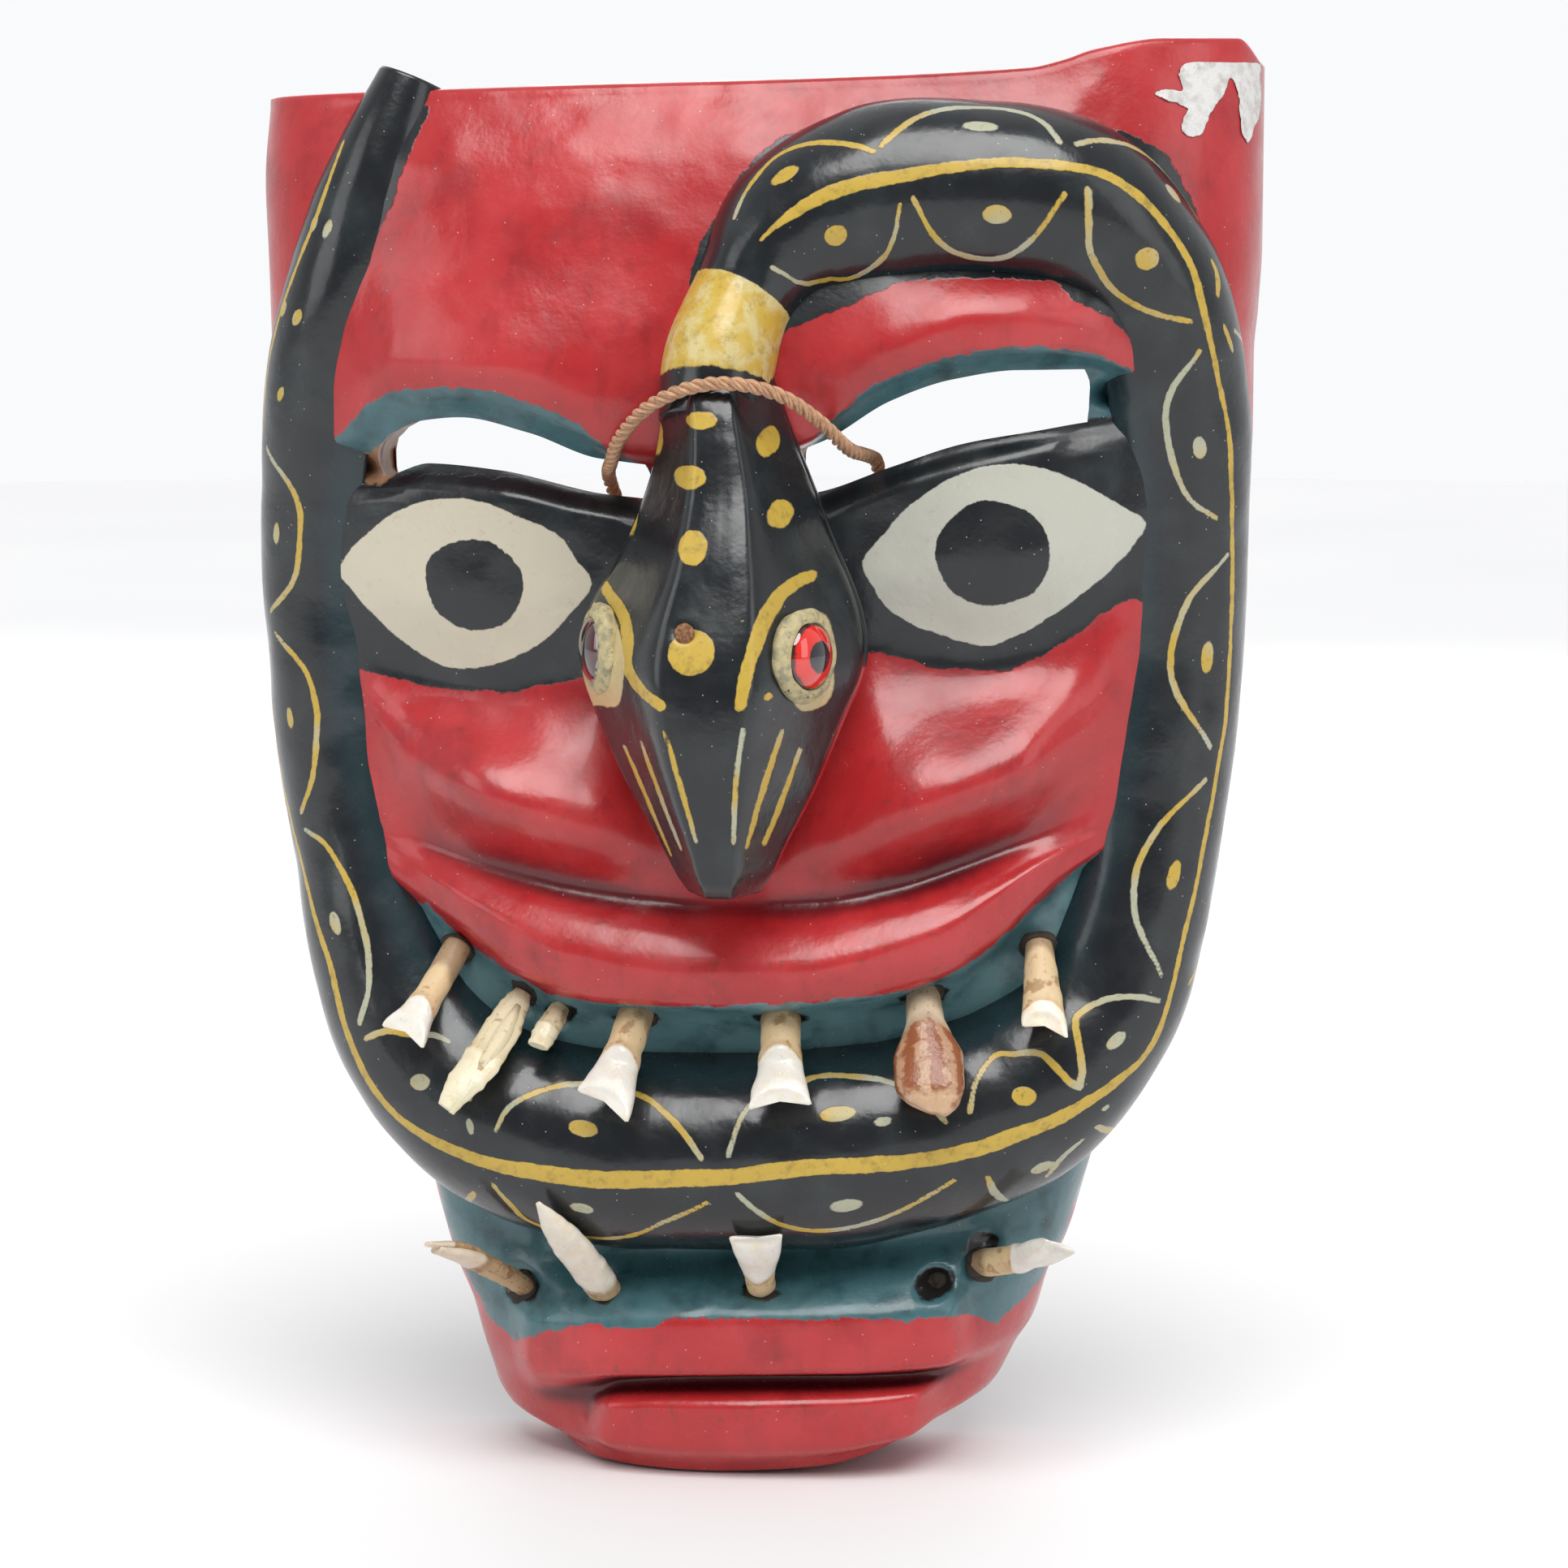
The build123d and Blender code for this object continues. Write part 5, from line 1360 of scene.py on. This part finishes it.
def twisted(line, diameter, count, turnEvery, closed=False):
    # strands wound round a line: each strand's middle is offset by 0.26 of the diameter and turns steadily along the length
    run = np.concatenate([[0], np.cumsum(np.linalg.norm(np.diff(line, axis=0), axis=1))])
    n = int(run[-1] / 0.75)
    middle = np.stack([np.interp(np.linspace(0, run[-1], n), run, c) for c in line.T], 1)
    axis = np.gradient(middle, axis=0)
    axis /= np.linalg.norm(axis, axis=1, keepdims=True)
    side = np.zeros_like(axis)
    side[0] = np.cross(axis[0], (0.3, 1, 0.2))
    for i in range(1, n):
        side[i] = side[i - 1] - axis[i] * (side[i - 1] @ axis[i])
        side[i] /= np.linalg.norm(side[i])
    side[0] = side[1]
    other = np.cross(axis, side)
    at = np.linspace(0, run[-1], n)
    ring = np.linspace(0, 2 * np.pi, 14, endpoint=False)
    parts, faces, marks, start = [], [], [], 0
    for strand in range(count):
        phase = 2 * np.pi * (at / turnEvery + strand / count)
        out = np.cos(phase)[:, None] * side + np.sin(phase)[:, None] * other
        across = -np.sin(phase)[:, None] * side + np.cos(phase)[:, None] * other
        centre = middle + out * diameter * 0.26
        r = diameter * 0.245 * (1 + 0.04 * unevenness(at, at * 0 + strand * 7, 1.8, 91))
        points = centre[:, None] + (r[:, None] * np.cos(ring))[..., None] * out[:, None] + (r[:, None] * 1.12 * np.sin(ring))[..., None] * across[:, None]
        points = capRows(points)
        faces.append(turnedOut(points, gridFaces(*points.shape[:2], aroundColumns=True)) + start)
        parts.append(points.reshape(-1, 3))
        marks.append(np.broadcast_to(capValues(phase + 0.0)[:, None] + ring * 1.0, points.shape[:2]).ravel())
        start += points.shape[0] * points.shape[1]
    return np.concatenate(parts), np.concatenate(faces), np.concatenate(marks)


def cordFinish():
    f = Finish("waxed brown cord")
    fibre = f.math("SINE", f.math("MULTIPLY", f.mark("wind"), 5.0))
    color = f.mix(f.between(f.noise(2.2, 5), 0.38, 0.70), (0.60, 0.335, 0.185), (0.40, 0.21, 0.115))
    color = f.mix(f.math("MULTIPLY", f.between(fibre, 0.2, 1.0), 0.35), color, (0.70, 0.46, 0.30))
    return f.put(color, 0.62, f.math("ADD", f.math("MULTIPLY", fibre, 0.3), f.noise(0.5, 3)), 0.12,
                 **{"Specular IOR Level": 0.35, "Sheen Weight": 0.15})


def makeCord():
    finish = cordFinish()
    c = cordShape
    line = routePoints("cord route", np.array(c["route"]))
    points, faces, wind = twisted(line, c["diameter"], c["strands"], c["turnEvery"])
    cord = makePiece("twisted_cord", points, faces, ["hanging_cord"], finish, {"wind": wind})
    turn = np.linspace(0, 2 * np.pi, 160)
    k = c["knot"]
    loop = np.stack([(np.sin(turn) + 2 * np.sin(2 * turn)) / 3, -np.sin(3 * turn) * 0.8, (np.cos(turn) - 2 * np.cos(2 * turn)) / 3], 1)
    loop = loop * k["size"] + k["middle"]
    points, faces, wind = twisted(loop, c["diameter"], c["strands"], c["turnEvery"])
    ends = [np.array([(x, -22, 203), (x * 1.6, -23, 198), (x * 2.0, -22, 192.5)], float) for x in (-2.2, 2.2)]
    parts, allFaces, winds, start = [points], [faces], [wind], len(points)
    for end in ends:
        p, q, w = twisted(rounded(end, 8), c["diameter"] * 0.95, c["strands"], c["turnEvery"])
        parts.append(p); allFaces.append(q + start); winds.append(w)
        start += len(p)
    knot = makePiece("cord_knot_tied", np.concatenate(parts), np.concatenate(allFaces), ["cord_knot"], finish,
                     {"wind": np.concatenate(winds)})


# ---- camera, light and floor ----

view = {"target": (0.012, -0.050, 0.199), "distance": 1.4, "turn": 6.0, "rise": 8.0, "across": 0.4395}


def makeCamera():
    a, e = math.radians(view["turn"]), math.radians(view["rise"])
    back = np.array([math.sin(a) * math.cos(e), -math.cos(a) * math.cos(e), math.sin(e)])
    camera = bpy.data.objects.new("camera", bpy.data.cameras.new("camera"))
    bpy.context.scene.collection.objects.link(camera)
    camera.location = np.array(view["target"]) + back * view["distance"]
    camera.rotation_mode = "QUATERNION"
    camera.rotation_quaternion = Vector(-back).to_track_quat("-Z", "Y")
    camera.data.sensor_width = 36
    camera.data.lens = 36 * view["distance"] / view["across"]
    camera.data.clip_start, camera.data.clip_end = 0.05, 60
    bpy.context.scene.camera = camera


lights = {
    "softbox": {"turn": 12, "rise": 58, "angle": 42, "strength": 2.7, "color": (1.0, 0.995, 0.985)},
    "fills": [((-1.5, -1.1, 0.9), (0.9, 1.3), 7), ((1.5, -0.9, 0.8), (0.7, 1.3), 4), ((0.0, 1.7, 1.0), (1.8, 1.0), 9)],
    "room": {"front": 0.20, "back": 0.85, "seen": (0.95, 0.958, 0.975)},
}


def makeLights():
    # one wide softbox overhead, weak fills at the sides and behind, and a room that is dim behind the camera
    scene = bpy.context.scene
    box = lights["softbox"]
    lamp = bpy.data.lights.new("softbox", "SUN")
    lamp.energy, lamp.angle, lamp.color = box["strength"], math.radians(box["angle"]), box["color"]
    holder = bpy.data.objects.new("softbox", lamp)
    scene.collection.objects.link(holder)
    a, e = math.radians(box["turn"]), math.radians(box["rise"])
    out = Vector((math.sin(a) * math.cos(e), -math.cos(a) * math.cos(e), math.sin(e)))
    holder.rotation_euler = (-out).to_track_quat("-Z", "Y").to_euler()
    for place, size, watts in lights["fills"]:
        lamp = bpy.data.lights.new("fill", "AREA")
        lamp.shape = "RECTANGLE"
        lamp.size, lamp.size_y = size
        lamp.energy = watts
        holder = bpy.data.objects.new("fill", lamp)
        scene.collection.objects.link(holder)
        holder.location = place
        holder.rotation_euler = (Vector((0, 0, 0.2)) - Vector(place)).to_track_quat("-Z", "Y").to_euler()
    room = lights["room"]
    world = bpy.data.worlds.new("studio")
    world.use_nodes = True
    tree = world.node_tree
    background = tree.nodes["Background"]
    way = tree.nodes.new("ShaderNodeTexCoord")
    parts = tree.nodes.new("ShaderNodeSeparateXYZ")
    grade = tree.nodes.new("ShaderNodeMapRange")
    grade.inputs["From Min"].default_value, grade.inputs["From Max"].default_value = -0.7, 0.8
    grade.inputs["To Min"].default_value, grade.inputs["To Max"].default_value = room["front"], room["back"]
    tree.links.new(way.outputs["Object"], parts.inputs[0])
    tree.links.new(parts.outputs["Y"], grade.inputs["Value"])
    tree.links.new(grade.outputs["Result"], background.inputs["Strength"])
    background.inputs["Color"].default_value = (0.97, 0.98, 1.0, 1)
    seen = tree.nodes.new("ShaderNodeBackground")
    seen.inputs["Color"].default_value = (*room["seen"], 1)
    path = tree.nodes.new("ShaderNodeLightPath")
    both = tree.nodes.new("ShaderNodeMixShader")
    tree.links.new(path.outputs["Is Camera Ray"], both.inputs[0])
    tree.links.new(background.outputs[0], both.inputs[1])
    tree.links.new(seen.outputs[0], both.inputs[2])
    tree.links.new(both.outputs[0], tree.nodes["World Output"].inputs["Surface"])
    scene.world = world
    scene.view_settings.view_transform = "Standard"


def makeFloor():
    # rings of a wide flat disc, closer together near the middle
    radius = np.concatenate([[0.001], np.linspace(0.05, 1.0, 20), np.geomspace(1.1, 3.6, 12)]) * 1000
    turn = np.linspace(0, 2 * np.pi, 64, endpoint=False)
    points = np.stack([radius[:, None] * np.cos(turn), radius[:, None] * np.sin(turn), np.zeros((len(radius), 64))], -1)
    f = Finish("pale floor")
    color = f.mix(f.between(f.noise(700, 2), 0.3, 0.7), (0.765, 0.765, 0.775), (0.795, 0.795, 0.80))
    finish = f.put(color, 0.65, None, **{"Specular IOR Level": 0.2})
    mesh = bpy.data.meshes.new("floor")
    faces = turnedOut(points, gridFaces(len(radius), 64, aroundColumns=True), (0, 0, 1))
    mesh.from_pydata((points.reshape(-1, 3) * mm).tolist(), [], faces.tolist())
    mesh.update()
    floor = bpy.data.objects.new("floor", mesh)
    bpy.context.scene.collection.objects.link(floor)
    floor.data.materials.append(finish)


makeCamera()
makeCord()
print("cord done")
facePiece()
hollowPiece()
print("face and hollow done")
bodyPiece()
headPiece()
print("snake done")
makeEyes()
makeTeeth()
makeResin()
labelPiece()
print("eyes, teeth and label done")
makeFloor()
makeLights()
print("lights and floor done")
